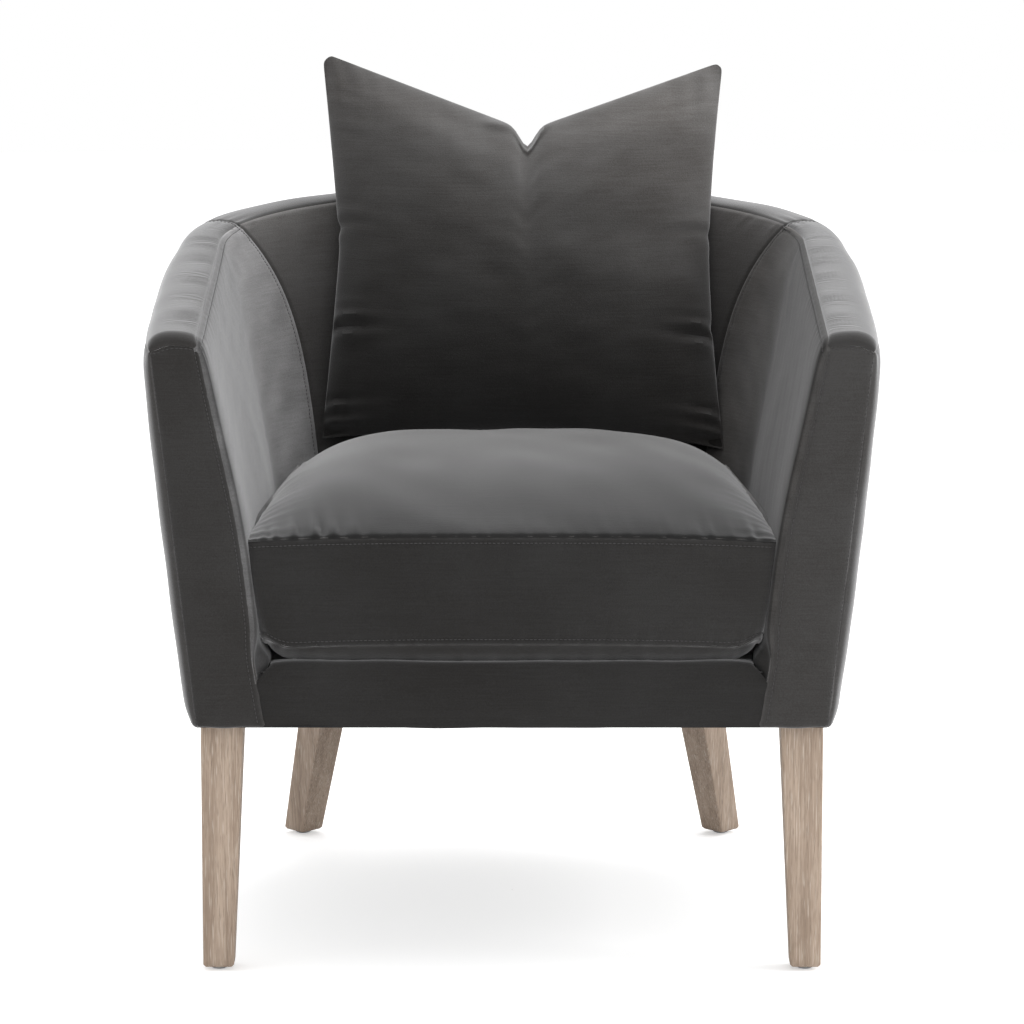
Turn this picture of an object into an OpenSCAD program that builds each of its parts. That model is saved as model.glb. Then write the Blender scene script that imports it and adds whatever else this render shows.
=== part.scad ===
// Barrel-back upholstered armchair: a tub of padded walls on a hardwood frame, four tapered legs,
// a loose box cushion on a webbed deck and a loose back pillow.
// Millimetres. The front faces -Y, X is to the right, Z is up. The origin is on the floor, below the
// middle of the chair. Inside the modules y runs back from the plane of the arm fronts.

/* [Tub] */
// Height of the underside of the tub above the floor
base_height = 249; // [215:1:260]
// Height of the inner top seam at the arm fronts
arm_height = 629; // [600:1:660]
// Rise of the top seam from the arm fronts to the middle of the back
back_rise = 74; // [40:1:100]
// Width between the inner top seams of the arms
inner_width_top = 601; // [580:1:640]
// Width between the inner faces of the arms at the underside
inner_width_base = 478; // [465:1:490]
// Depth from the arm fronts to the inner face of the back, at the top seam
inner_depth_top = 631; // [615:1:660]
// Depth from the arm fronts to the inner face of the back, at the underside
inner_depth_base = 535; // [525:1:550]
// Length of the straight part of the arms, before the back curves round
arm_straight = 403; // [385:1:420]
// Wall thickness at the top seam, all round
wall_top = 55; // [50:1:62]
// Thickness of the arms at the underside
arm_wall_base = 75; // [70:1:84]
// Thickness of the back at the underside
back_wall_base = 84; // [78:1:92]

/* [Upholstery] */
// Thickness of the cover cloth
cloth = 1.5; // [1:0.1:2]
// Crown of the top band above its seams
band_crown = 4; // [1:0.5:8]
// Drop from the inner to the outer seam of the top band
band_drop = 14; // [10:0.5:17]
// Radius with which the top band rolls over the arm fronts
band_roll = 11; // [6:0.5:14]
// Fullness of the outside covers between their seams
outside_puff = 4; // [0:0.5:7]
// Depth of the top padding below the inner seam
top_pad_depth = 20; // [19:0.5:26]
// Thickness of the outside padding with its cloth
outside_padding = 8; // [5:0.5:9]
// Angle round the back of the arm seam, low down
seam_angle_low = 39; // [32:1:46]
// Angle round the back of the arm seam, at the top
seam_angle_top = 18; // [12:1:24]

/* [Frame] */
// Thickness of the hardwood rails and posts
frame_thickness = 26; // [20:1:27]
// Height of the seat rails
seat_rail_height = 39; // [38:1:56]
// Height of the top rails
top_rail_height = 40; // [25:1:60]
// Width of the leg blocks across the wall
leg_block_width = 54; // [50:1:60]
// Length of the front leg blocks along the arm
front_block_length = 66; // [60:1:80]
// Width of the middle stile in the back
stile_width = 50; // [30:1:80]
// Gap of the lining between the frame and the padding
lining = 1.5; // [1:0.1:2.5]

/* [Seat deck] */
// Width of a webbing strap
strap_width = 50; // [40:1:60]
// Thickness of a webbing strap
strap_thickness = 1.6; // [1:0.1:2.5]
// Number of straps from front to back
long_straps = 5; // [3:1:6]
// Number of straps from side to side
cross_straps = 5; // [3:1:6]
// Thickness of the deck padding
deck_padding = 8; // [5:0.5:14]
// Thickness of the cloth under the frame
dust_cloth = 1.2; // [0.8:0.1:1.4]

/* [Seat cushion] */
// Gap between the cushion and the tub
cushion_gap = 12; // [8:0.5:16]
// Depth of the cushion's front face behind the arm fronts
cushion_front = 5; // [2:1:20]
// Height of the boxing between its seams
boxing_height = 112; // [85:1:115]
// Bulge of the bottom panel below its seam
cushion_belly = 22; // [20:1:40]
// Crown of the top panel above its seam
cushion_crown = 45; // [35:1:62]
// How far each side of the cushion stands out at its front, into its gap
cushion_flare = 4; // [0:0.5:5]
// How much nearer the middle each side of the cushion is at its rear
cushion_taper = 30; // [0:1:34]
// Fullness of the boxing
boxing_puff = 3; // [0:0.5:5]

/* [Back pillow] */
// Width of the pillow from corner to corner
pillow_width = 430; // [410:1:450]
// Height of the pillow from corner to corner
pillow_height = 402; // [390:1:430]
// Fullness of the pillow in front of its seam
pillow_front_depth = 62; // [45:1:66]
// Fullness of the pillow behind its seam
pillow_back_depth = 38; // [25:1:39]
// Depth of the dent in the top edge
pillow_dent = 92; // [30:1:110]
// Lean of the pillow from upright
pillow_lean = 14.5; // [12:0.5:16]
// Shift of the pillow to the right of the middle
pillow_shift = 10; // [-10:1:12]

/* [Legs] */
// Side of a leg's square section at the top
leg_top = 42; // [34:1:42]
// Side of a leg's square section at the foot
leg_foot = 30; // [22:1:32]
// Distance from the arm fronts to the front face of the front legs
front_leg_setback = 22; // [18:1:26]
// Distance from the middle of the chair to the outer face of the front legs
front_leg_reach = 303; // [300:1:304]
// Angle round the back at which a rear leg stands
rear_leg_angle = 49.5; // [49:0.5:50]
// Splay of a rear leg's foot beyond its top
rear_splay = 65; // [20:1:70]
// Diameter of the hanger bolts
bolt_diameter = 8; // [6:1:10]
// Depth of the bolt in the leg
bolt_depth = 36; // [25:1:50]
// Diameter of a glide
glide_diameter = 18; // [14:1:20]
// Height of a glide below the leg
glide_height = 4; // [3:0.5:7]

/* [Hidden] */
$fn = 48;

VELVET = [0.24, 0.24, 0.25];
VELVET_LIGHT = [0.34, 0.34, 0.35];
FOAM = [0.93, 0.88, 0.66];
FELT = [0.62, 0.60, 0.56];
HARDWOOD = [0.80, 0.66, 0.46];
OAK = [0.72, 0.64, 0.56];
STEEL = [0.66, 0.67, 0.69];
NYLON = [0.60, 0.61, 0.62];
BLACK_CLOTH = [0.10, 0.10, 0.11];
STRAP = [0.55, 0.40, 0.24];

INNER = 0;
OUTER = 1;

// The frame stands between two offsets from the outer face of the wall.
frame_out = outside_padding + lining;
frame_in = frame_out + frame_thickness;
pad_back = frame_in + lining;
// Clearance between solids that lie side by side without bearing on each other
seat_fit = 0.3;
// Clearance between round pieces whose flats don't fall on the same lines
round_fit = 1.2;
// Clearance between a moving piece and what it rests on
motion_gap = 0.4;

rail_bottom = base_height + dust_cloth;
rail_top = rail_bottom + seat_rail_height;
web_top = rail_top + 2 * strap_thickness;
deck_bottom = web_top + seat_fit;
deck_top = deck_bottom + deck_padding + cloth;
// Level below the inner seam at which the inside and outside pads end
pad_level = top_pad_depth + 0.6;
top_rail_level = pad_level + lining;
cover_front = cloth;

rear_post_start = 40;
rear_post_end = 46;
rear_block_end = 58;

// ---------------------------------------------------------------- plan and walls

function mix(a, b, t) = a + (b - a) * t;

// Station u runs from 0 at the arm front to 1 at the end of the straight arm, and then round the
// back, by half an ellipse, to 2 at the other arm.
function plan(u, half, depth) =
    u <= 1
        ? [half, u * arm_straight]
        : [half * cos(180 * (u - 1)), arm_straight + (depth - arm_straight) * sin(180 * (u - 1))];

function at_y(y) = y / arm_straight;
function at_angle(a) = 1 + a / 180;

// Height of the inner top seam at a station
function seam_z(u) =
    arm_height + back_rise * plan(u, inner_width_top / 2, inner_depth_top)[1] / inner_depth_top;

// Point on a wall face, moved d into the wall. Each face is ruled from its plan at the underside to
// its plan at the top seam.
function wall(u, z, face, d) =
    let (
        s = face == INNER ? d : -d,
        half_base = inner_width_base / 2 + (face == INNER ? 0 : arm_wall_base) + s,
        depth_base = inner_depth_base + (face == INNER ? 0 : back_wall_base) + s,
        half_top = inner_width_top / 2 + (face == INNER ? 0 : wall_top) + s,
        depth_top = inner_depth_top + (face == INNER ? 0 : wall_top) + s,
        v = (z - base_height) / (seam_z(u) - base_height),
        p = mix(plan(u, half_base, depth_base), plan(u, half_top, depth_top), v)
    )
    [p[0], p[1], z];

// Angle of the arm seam at height share v of the wall
function seam_angle(v) = seam_angle_low - (seam_angle_low - seam_angle_top) * pow(max(0, min(1, v)), 6.4);

FRONT_SHARES = [0, 0.12, 0.42, 1];
STRAIGHT_STEPS = 3;
ROUND_STEPS = 4;
BACK_STEPS = 18;

// Stations of a piece of the arm wall, from the front to the seam, with close steps over the roll
function arm_stations(start, v) = concat(
    [for (f = FRONT_SHARES) mix(at_y(start), at_y(start + band_roll), f)],
    [for (i = [1:STRAIGHT_STEPS]) mix(at_y(start + band_roll), 1, i / STRAIGHT_STEPS)],
    [for (i = [1:ROUND_STEPS]) at_angle(seam_angle(v) * i / ROUND_STEPS)]
);

// Stations of a piece of the back wall, from the right seam to the left one
function back_stations(v) =
    [for (i = [0:BACK_STEPS]) at_angle(mix(seam_angle(v), 180 - seam_angle(v), i / BACK_STEPS))];

function round_stations(from, to, steps) = [for (i = [0:steps]) at_angle(mix(from, to, i / steps))];

// How far the top edge falls where the band rolls over the arm front
function roll_drop(y) =
    y >= band_roll ? 0 : band_roll * (1 - sqrt(1 - pow(1 - y / band_roll, 2)));

// ---------------------------------------------------------------- solids between two grids

function corner_sign(a, b) =
    let (i = floor((len(a) - 1) / 2), j = floor((len(a[0]) - 1) / 2), o = a[i][j])
    cross(a[i + 1][j] - o, a[i][j + 1] - o) * (o - b[i][j]);

// Closed solid between grid a and grid b, which have equal rows and columns. With loop, the last
// row joins the first and the solid is a ring.
module slab(a, b, loop = false) {
    rows = len(a);
    cols = len(a[0]);
    size = rows * cols;
    spans = loop ? rows : rows - 1;
    function id(s, i, j) = s * size + (i % rows) * cols + j;
    function quad(p, q, r, t) = [[p, q, r], [p, r, t]];
    sheets = [for (i = [0:spans - 1], j = [0:cols - 2]) each concat(
        quad(id(0, i, j), id(0, i, j + 1), id(0, i + 1, j + 1), id(0, i + 1, j)),
        [[id(1, i, j), id(1, i + 1, j + 1), id(1, i, j + 1)],
         [id(1, i, j), id(1, i + 1, j), id(1, i + 1, j + 1)]]
    )];
    edges = [for (i = [0:spans - 1]) each concat(
        quad(id(0, i, 0), id(0, i + 1, 0), id(1, i + 1, 0), id(1, i, 0)),
        quad(id(0, i + 1, cols - 1), id(0, i, cols - 1), id(1, i, cols - 1), id(1, i + 1, cols - 1))
    )];
    ends = loop ? [] : [for (j = [0:cols - 2]) each concat(
        quad(id(0, 0, j + 1), id(0, 0, j), id(1, 0, j), id(1, 0, j + 1)),
        quad(id(0, rows - 1, j), id(0, rows - 1, j + 1), id(1, rows - 1, j + 1), id(1, rows - 1, j))
    )];
    faces = concat(sheets, edges, ends);
    turned = corner_sign(a, b) > 0 ? faces : [for (f = faces) [f[2], f[1], f[0]]];
    polyhedron(points = concat([for (r = a) each r], [for (r = b) each r]), faces = turned);
}

// Piece of the wall between two faces, each given as [face, offset], over stations and heights
module wall_piece(stations, low, high, near, far) {
    slab(
        [for (u = stations) [wall(u, low, near[0], near[1]), wall(u, high, near[0], near[1])]],
        [for (u = stations) [wall(u, low, far[0], far[1]), wall(u, high, far[0], far[1])]]
    );
}

// ---------------------------------------------------------------- hardwood frame

module frame_piece(stations, low, high, inner_edge = frame_in) {
    color(HARDWOOD) wall_piece(stations, low, high, [OUTER, frame_out], [OUTER, inner_edge]);
}

// Rail that keeps a set distance below the top seam
module top_rail(stations) {
    function row(u, d) = [
        wall(u, seam_z(u) - top_rail_level - top_rail_height, OUTER, d),
        wall(u, seam_z(u) - top_rail_level, OUTER, d),
    ];
    color(HARDWOOD) slab([for (u = stations) row(u, frame_out)], [for (u = stations) row(u, frame_in)]);
}

// Post that stands on a leg block and reaches the top of the top rail
module post(from, to) {
    function row(u, d) = [wall(u, rail_top, OUTER, d), wall(u, seam_z(u) - top_rail_level, OUTER, d)];
    color(HARDWOOD)
        slab([for (u = [from, to]) row(u, frame_out)], [for (u = [from, to]) row(u, frame_in)]);
}

glue_gap = 0.1;
front_post_start = cover_front + lining;
front_post_end = front_post_start + frame_thickness;
front_block_end = front_post_start + front_block_length;
block_inner = frame_out + leg_block_width;

module front_rail() {
    function row(z, y) = let (x = wall(at_y(y), z, OUTER, block_inner)[0] - glue_gap) [[-x, y, z], [x, y, z]];
    color(HARDWOOD) slab(
        [for (z = [rail_bottom, rail_top]) row(z, front_post_start)],
        [for (z = [rail_bottom, rail_top]) row(z, front_post_end)]
    );
}

module seat_rail() {
    frame_piece(
        concat([at_y(front_block_end), 1], round_stations(rear_post_start / 4, rear_post_start, 3)),
        rail_bottom, rail_top
    );
}

module back_seat_rail() {
    frame_piece(round_stations(rear_block_end, 180 - rear_block_end, 8), rail_bottom, rail_top);
}

module arm_top_rail() {
    top_rail(concat([at_y(front_post_end), 1], round_stations(rear_post_start / 4, rear_post_start, 3)));
}

module back_top_rail() {
    top_rail(round_stations(rear_post_end, 180 - rear_post_end, 10));
}

module front_post() {
    post(at_y(front_post_start), at_y(front_post_end));
}

module rear_post() {
    post(at_angle(rear_post_start), at_angle(rear_post_end));
}

module back_stile() {
    turn = asin(stile_width / (inner_width_base + arm_wall_base));
    function row(u, d) = [
        wall(u, rail_top, OUTER, d),
        wall(u, seam_z(u) - top_rail_level - top_rail_height - seat_fit, OUTER, d),
    ];
    color(HARDWOOD) slab(
        [for (a = [90 - turn, 90, 90 + turn]) row(at_angle(a), frame_out + seat_fit)],
        [for (a = [90 - turn, 90, 90 + turn]) row(at_angle(a), frame_in - strap_land - round_fit)]
    );
}

// Axis of each leg bolt, at the underside
front_bolt = [front_leg_reach - leg_top / 2, front_leg_setback + leg_top / 2];
rear_bolt = let (p = wall(at_angle(rear_leg_angle), base_height, OUTER, frame_out + frame_thickness * 0.62))
    [p[0], p[1]];

nut_length = 12;
nut_radius = bolt_diameter / 2 + 1.6;
flange_radius = bolt_diameter / 2 + 5.5;
flange_thickness = 1.8;

module block_bore(at) {
    translate([at[0], at[1], rail_bottom - 1]) cylinder(r = bolt_diameter / 2, h = seat_rail_height + 2);
    translate([at[0], at[1], rail_top - nut_length]) cylinder(r = nut_radius, h = nut_length + 1);
}

module front_leg_block() {
    color(HARDWOOD) difference() {
        frame_piece([at_y(front_post_start), at_y(front_block_end)], rail_bottom, rail_top, block_inner);
        block_bore(front_bolt);
    }
}

module rear_leg_block() {
    color(HARDWOOD) difference() {
        frame_piece(round_stations(rear_post_start, rear_block_end, 3), rail_bottom, rail_top, block_inner);
        block_bore(rear_bolt);
    }
}

// ---------------------------------------------------------------- seat deck

// Outline of the tub at a height, at an offset inside its outer face, from arm to arm
function outline(z, face, d, start) = let (
    right = concat([at_y(start)], [1], round_stations(9, 90, 9)),
    pts = [for (u = right) let (p = wall(u, z, face, d)) [p[0], p[1]]]
) concat(pts, [for (i = [len(pts) - 2:-1:0]) [-pts[i][0], pts[i][1]]]);

// Straps end on the seat rails, in front of the middle stile.
strap_land = 10;
strap_clear = 4;
// How far the rearmost side strap lies behind the straight part of the arms
strap_overrun = 40;

module strap_field(z) {
    translate([0, 0, z]) linear_extrude(strap_thickness) intersection() {
        polygon(outline(rail_top, OUTER, frame_in - strap_land, front_post_end - strap_land));
        children();
    }
}

module long_webbing() {
    reach = rear_bolt[0] - flange_radius - round_fit * 2;
    pitch = (2 * reach - strap_width) / (long_straps - 1);
    color(STRAP) strap_field(rail_top) for (i = [0:long_straps - 1])
        translate([(i - (long_straps - 1) / 2) * pitch - strap_width / 2, 0])
            square([strap_width, inner_depth_top]);
}

// The side straps lie between the front leg blocks and the rear ones.
module cross_webbing() {
    first = front_block_end + strap_clear;
    room = arm_straight + strap_overrun - first - strap_width;
    pitch = room / (cross_straps - 1);
    color(STRAP) strap_field(rail_top + strap_thickness) for (i = [0:cross_straps - 1])
        translate([-inner_width_top / 2, first + i * pitch]) square([inner_width_top, strap_width]);
}

// The deck lies inside the inside covers.
module deck_layer(z, thickness, start) {
    translate([0, 0, z]) linear_extrude(thickness) polygon(outline(z, INNER, -round_fit, start));
}

module deck_pad() {
    color(FELT) deck_layer(deck_bottom, deck_padding, front_post_start);
}

module deck_cover() {
    color(VELVET) deck_layer(deck_bottom + deck_padding, cloth, cover_front);
}

leg_hole = bolt_diameter / 2 + 0.5;

module dust_cover() {
    color(BLACK_CLOTH) difference() {
        translate([0, 0, base_height]) linear_extrude(dust_cloth)
            polygon(outline(base_height, OUTER, outside_padding + round_fit, cover_front + seat_fit));
        for (s = [-1, 1], at = [front_bolt, rear_bolt])
            translate([s * at[0], at[1], base_height - 1]) cylinder(r = leg_hole, h = dust_cloth + 2);
    }
}

// The cover of the front rail stands above the deck as a lip, which keeps the cushion in its place.
lip_height = 12;
lip_depth = 24;

module front_rail_cover() {
    function row(y, z) = let (x = wall(at_y(y), z, INNER, -seat_fit)[0]) [[-x, y, z], [x, y, z]];
    step = deck_top + seat_fit;
    top = deck_top + lip_height;
    color(VELVET) slab(
        [row(0, base_height), row(0, mix(step, top, 0.2)), row(0, mix(step, top, 0.6)), row(0, top)],
        [row(cover_front, base_height), row(cover_front, step), row(lip_depth, step), row(lip_depth, top)]
    );
}

// ---------------------------------------------------------------- inside and outside of the walls

INSIDE_SHARES = [0, 0.3, 0.6, 0.8, 0.92, 1];
OUTSIDE_SHARES = [0, 0.07, 0.25, 0.5, 0.75, 0.93, 1];
inside_low = deck_bottom;

function height_share(z) = (z - base_height) / (arm_height - base_height);

// Grid of an inside face: stations follow the seam, which leans with height
function inside_grid(stations_at, d, edge_drop, capped) = let (
    count = len(stations_at(0)),
    levels = len(INSIDE_SHARES)
) [for (i = [0:count - 1]) concat(
    [for (j = [0:levels - 1]) let (
        u = stations_at(mix(height_share(inside_low), 1, INSIDE_SHARES[j]))[i],
        z = mix(inside_low, seam_z(u) - pad_level, INSIDE_SHARES[j])
    ) wall(u, z, INNER, d)],
    capped ? [let (
        u = stations_at(1)[i],
        z = seam_z(u) - edge_drop - roll_drop(wall(u, seam_z(u), INNER, 0)[1])
    ) wall(u, z, INNER, d)] : []
)];

module inside_cover(stations_at) {
    color(VELVET_LIGHT) slab(
        inside_grid(stations_at, 0, 0, true),
        inside_grid(stations_at, cloth, cloth, true)
    );
}

// The pad fills the wall from the cover to the lining on the frame.
module inside_pad(stations_at) {
    count = len(stations_at(0));
    function back_grid() = [for (i = [0:count - 1]) [for (s = INSIDE_SHARES) let (
        u = stations_at(mix(height_share(inside_low), 1, s))[i]
    ) wall(u, mix(inside_low, seam_z(u) - pad_level, s), OUTER, pad_back)]];
    color(FOAM) slab(inside_grid(stations_at, cloth, 0, false), back_grid());
}

function puff(s) = outside_puff * (1 - pow(abs(2 * s - 1), 3));

function outside_grid(stations, d, swell, capped) = [for (u = stations) concat(
    [for (s = OUTSIDE_SHARES)
        wall(u, mix(base_height, seam_z(u) - pad_level, s), OUTER, d - swell * puff(s * 0.97))],
    capped ? [wall(u, seam_z(u) - band_drop - (swell > 0 ? 0 : cloth), OUTER, d)] : []
)];

module outside_cover(stations) {
    color(VELVET) slab(outside_grid(stations, 0, 1, true), outside_grid(stations, cloth, 0, true));
}

module outside_pad(stations) {
    color(FELT) slab(
        outside_grid(stations, cloth, 0, false),
        outside_grid(stations, outside_padding, 0, false)
    );
}

// ---------------------------------------------------------------- top band

// Section of the band: share across the wall, height above the inner seam
BAND_SECTION = [
    [0, 0], [0.12, band_crown * 0.65], [0.3, band_crown], [0.55, band_crown],
    [0.75, band_crown * 0.3], [0.88, -band_drop * 0.22], [0.96, -band_drop * 0.58], [1, -band_drop],
];

// Point across the top of the wall: share f, height h, and e below the surface and inside both
// faces. At the arm fronts the section sinks into one straight edge.
function across(u, f, h, e) = let (
    y = wall(u, seam_z(u), INNER, 0)[1],
    z = seam_z(u) + h - e - roll_drop(y) * (1 + min(0, h) / band_drop)
) mix(wall(u, z, INNER, e), wall(u, z, OUTER, e), f);

function band_grid(stations, e) = [for (u = stations) [for (p = BAND_SECTION) across(u, p[0], p[1], e)]];

module top_band(stations) {
    color(VELVET_LIGHT) slab(band_grid(stations, 0), band_grid(stations, cloth));
}

module top_pad(stations) {
    skin = cloth + seat_fit;
    color(FOAM) slab(
        band_grid(stations, skin),
        [for (u = stations) [for (p = BAND_SECTION) let (z = seam_z(u) - top_pad_depth)
            mix(wall(u, z, INNER, skin), wall(u, z, OUTER, skin), p[0])]]
    );
}

// ---------------------------------------------------------------- arm front

ARM_FRONT_LEVELS = 6;

// Flat panel over the end of the arm, from the underside to the front edge of the band
module arm_front() {
    function edge(k, y) = [for (p = BAND_SECTION) let (
        top = across(0, p[0], p[1], 0)[2],
        z = mix(base_height, top, k / ARM_FRONT_LEVELS),
        q = mix(wall(0, z, INNER, 0), wall(0, z, OUTER, 0), p[0])
    ) [q[0], y, z]];
    color(VELVET) slab(
        [for (k = [0:ARM_FRONT_LEVELS]) edge(k, 0)],
        [for (k = [0:ARM_FRONT_LEVELS]) edge(k, cover_front)]
    );
}

// ---------------------------------------------------------------- seat cushion

cushion_low_seam = deck_top + motion_gap + cushion_belly;
cushion_top_seam = cushion_low_seam + boxing_height;
CUSHION_ACROSS = 16;
DEEP_SHARES = [0, 0.04, 0.14, 0.3, 0.5, 0.7, 0.86, 0.96, 1];

// Point of the cushion's plan: share s across from -1 to 1 by the sine, share t from front to back
function cushion_point(i, t, z, inset) = let (
    angle = 180 * i / CUSHION_ACROSS,
    rear = wall(at_angle(angle), z, INNER, -cushion_gap - inset),
    front = cushion_front + inset
) [rear[0] + mix(cushion_flare, -cushion_taper, t) * cos(angle), mix(front, rear[1], t), z];

function dome(i, t) = let (s = abs(cos(180 * i / CUSHION_ACROSS)))
    (1 - pow(s, 6)) * (1 - pow(abs(2 * t - 1), 2.6));

function top_z(i, t) = cushion_top_seam + cushion_crown * dome(i, t);
function cushion_crown_at(y) = let (
    middle = CUSHION_ACROSS / 2,
    rear = cushion_point(middle, 1, cushion_top_seam, 0)[1]
) top_z(middle, (y - cushion_front) / (rear - cushion_front));
function low_z(i, t) = cushion_low_seam - cushion_belly * min(1, 1.35 * dome(i, t));

function cushion_grid(seam_height, inset, height_at) =
    [for (i = [0:CUSHION_ACROSS]) [for (t = DEEP_SHARES)
        let (p = cushion_point(i, t, seam_height, inset)) [p[0], p[1], height_at(i, t)]]];

module cushion_top_panel() {
    color(VELVET_LIGHT) slab(
        cushion_grid(cushion_top_seam, 0, function (i, t) top_z(i, t)),
        cushion_grid(cushion_top_seam - cloth, cloth, function (i, t) top_z(i, t) - cloth)
    );
}

module cushion_bottom_panel() {
    color(VELVET) slab(
        cushion_grid(cushion_low_seam, 0, function (i, t) low_z(i, t)),
        cushion_grid(cushion_low_seam + cloth, cloth, function (i, t) low_z(i, t) + cloth)
    );
}

module cushion_core() {
    skin = cloth + seat_fit;
    color(FOAM) slab(
        cushion_grid(cushion_top_seam - skin, cloth + round_fit, function (i, t) top_z(i, t) - skin),
        cushion_grid(cushion_low_seam + skin, cloth + round_fit, function (i, t) low_z(i, t) + skin)
    );
}

// Points round the cushion at a height: the front, the right side, the rear and the left side
function cushion_ring(z, inset) = concat(
    [for (i = [CUSHION_ACROSS:-1:0]) cushion_point(i, 0, z, inset)],
    [for (k = [1:len(DEEP_SHARES) - 2]) cushion_point(0, DEEP_SHARES[k], z, inset)],
    [for (i = [0:CUSHION_ACROSS]) cushion_point(i, 1, z, inset)],
    [for (k = [len(DEEP_SHARES) - 2:-1:1]) cushion_point(CUSHION_ACROSS, DEEP_SHARES[k], z, inset)]
);

BOXING_SHARES = [0, 0.12, 0.5, 0.88, 1];

module cushion_boxing() {
    outer = [for (s = BOXING_SHARES) cushion_ring(mix(cushion_low_seam, cushion_top_seam, s),
        -boxing_puff * (1 - pow(2 * s - 1, 2)))];
    inner = [for (s = BOXING_SHARES) cushion_ring(
        mix(cushion_low_seam + cloth, cushion_top_seam - cloth, s), cloth)];
    count = len(outer[0]);
    color(VELVET) slab(
        [for (i = [0:count - 1]) [for (r = outer) r[i]]],
        [for (i = [0:count - 1]) [for (r = inner) r[i]]],
        loop = true
    );
}

// The zip runs along the middle of the rear boxing, on a circle that lies on its curve.
zip_length = 220;
zip_height = 5;
zip_thickness = 1.6;
zip_clearance = 0.9;
slider_length = 12;
slider_height = 9;
slider_thickness = 3;
zip_z = mix(cushion_low_seam, cushion_top_seam, 0.5);
zip_back = wall(at_angle(90), zip_z, INNER, -cushion_gap + boxing_puff)[1];
zip_half = wall(at_angle(0), zip_z, INNER, -cushion_gap)[0] - cushion_taper;
zip_radius = zip_half * zip_half / (zip_back - arm_straight);
zip_centre = zip_back - zip_radius;
zip_turn = zip_length / 2 / zip_radius * 180 / PI;
zip_stand = 1.2;

module arc_strip(radius, thickness, height, from, to) {
    rotate([0, 0, from]) rotate_extrude(angle = to - from, $fn = 180)
        translate([radius, -height / 2]) square([thickness, height]);
}

module cushion_zip() {
    color(VELVET) translate([0, zip_centre, zip_z])
        arc_strip(zip_radius + zip_stand, zip_thickness, zip_height, 90 - zip_turn, 90 + zip_turn);
}

module cushion_zip_slider() {
    turn = slider_length / 2 / zip_radius * 180 / PI;
    face = zip_radius + zip_stand + zip_thickness + zip_clearance;
    side = (slider_height - zip_height) / 2 - zip_clearance;
    parked = zip_turn - 2 * turn;
    color(STEEL) translate([0, zip_centre, zip_z]) rotate([0, 0, -parked]) {
        arc_strip(face, slider_thickness - 1, slider_height, 90 - turn, 90 + turn);
        for (s = [-1, 1]) translate([0, 0, s * (slider_height - side) / 2])
            arc_strip(zip_radius + zip_stand, zip_thickness + zip_clearance, side, 90 - turn, 90 + turn);
    }
}

// ---------------------------------------------------------------- back pillow

PILLOW_STEPS = 14;
SPREAD = [for (i = [0:PILLOW_STEPS]) sin(90 * (2 * i / PILLOW_STEPS - 1))];
pillow_side_pull = 0.055;
pillow_bottom_pull = 12;
// The pillow leans on the top seam where its side edge meets the curve of the back, and stands on
// the crown of the cushion.
pillow_gap = 8;
pillow_clear = 1;
pillow_edge = abs(pillow_shift) + pillow_width / 2 * (1 - pillow_side_pull);
pillow_rest = at_angle(acos(pillow_edge / (inner_width_top / 2)));
pillow_foot_y = wall(pillow_rest, seam_z(pillow_rest), INNER, 0)[1] - pillow_gap
    - (seam_z(pillow_rest) - cushion_top_seam - cushion_crown / 2) * tan(pillow_lean);
pillow_foot_z = cushion_crown_at(pillow_foot_y) + pillow_clear;

function pillow_up(s, t) = let (
    low = -pillow_height / 2 + pillow_bottom_pull * (1 - s * s),
    high = pillow_height / 2 - pillow_dent * pow(1 - abs(s), 1.15)
) mix(low, high, (t + 1) / 2);

function pillow_swell(side, s, t) = ((side > 0 ? pillow_front_depth : pillow_back_depth) - cloth)
    * pow(1 - pow(abs(s), 2.6), 0.7) * pow(1 - pow(abs(t), 2.6), 0.7);

// Point of the pillow: s across, t up, n out of its middle plane
function pillow_point(s, t, n) = let (
    x = pillow_width / 2 * s * (1 - pillow_side_pull * (1 - t * t)),
    up = pillow_up(s, t) + pillow_height / 2
) [
    pillow_shift + x,
    pillow_foot_y + up * sin(pillow_lean) - n * cos(pillow_lean),
    pillow_foot_z + up * cos(pillow_lean) + n * sin(pillow_lean),
];

function pillow_grid(side, skin, share, fill) =
    [for (s = SPREAD) [for (t = SPREAD)
        pillow_point(s * share, t * share, side * (pillow_swell(side, s * share, t * share) * fill + skin))]];

module pillow_panel(side) {
    color(VELVET) slab(pillow_grid(side, cloth, 1, 1), pillow_grid(side, 0, 1, 1));
}

// The insert stays short of the seams, and its faces clear of the panels.
insert_share = 0.9;
insert_fill = 0.86;

module pillow_insert() {
    color(FOAM) slab(
        pillow_grid(1, 0, insert_share, insert_fill),
        pillow_grid(-1, 0, insert_share, insert_fill)
    );
}

pillow_zip_length = 260;
pillow_zip_drop = pillow_bottom_pull * (1 - pow(pillow_zip_length / pillow_width, 2));

// Frame on the pillow's lower edge, with +Z along its height
module at_pillow_foot() {
    translate([pillow_shift, pillow_foot_y, pillow_foot_z]) rotate([-pillow_lean, 0, 0]) children();
}

module pillow_zip() {
    color(VELVET) at_pillow_foot()
        translate([-pillow_zip_length / 2, -zip_thickness / 2, pillow_zip_drop - zip_height - seat_fit])
            cube([pillow_zip_length, zip_thickness, zip_height]);
}

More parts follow.
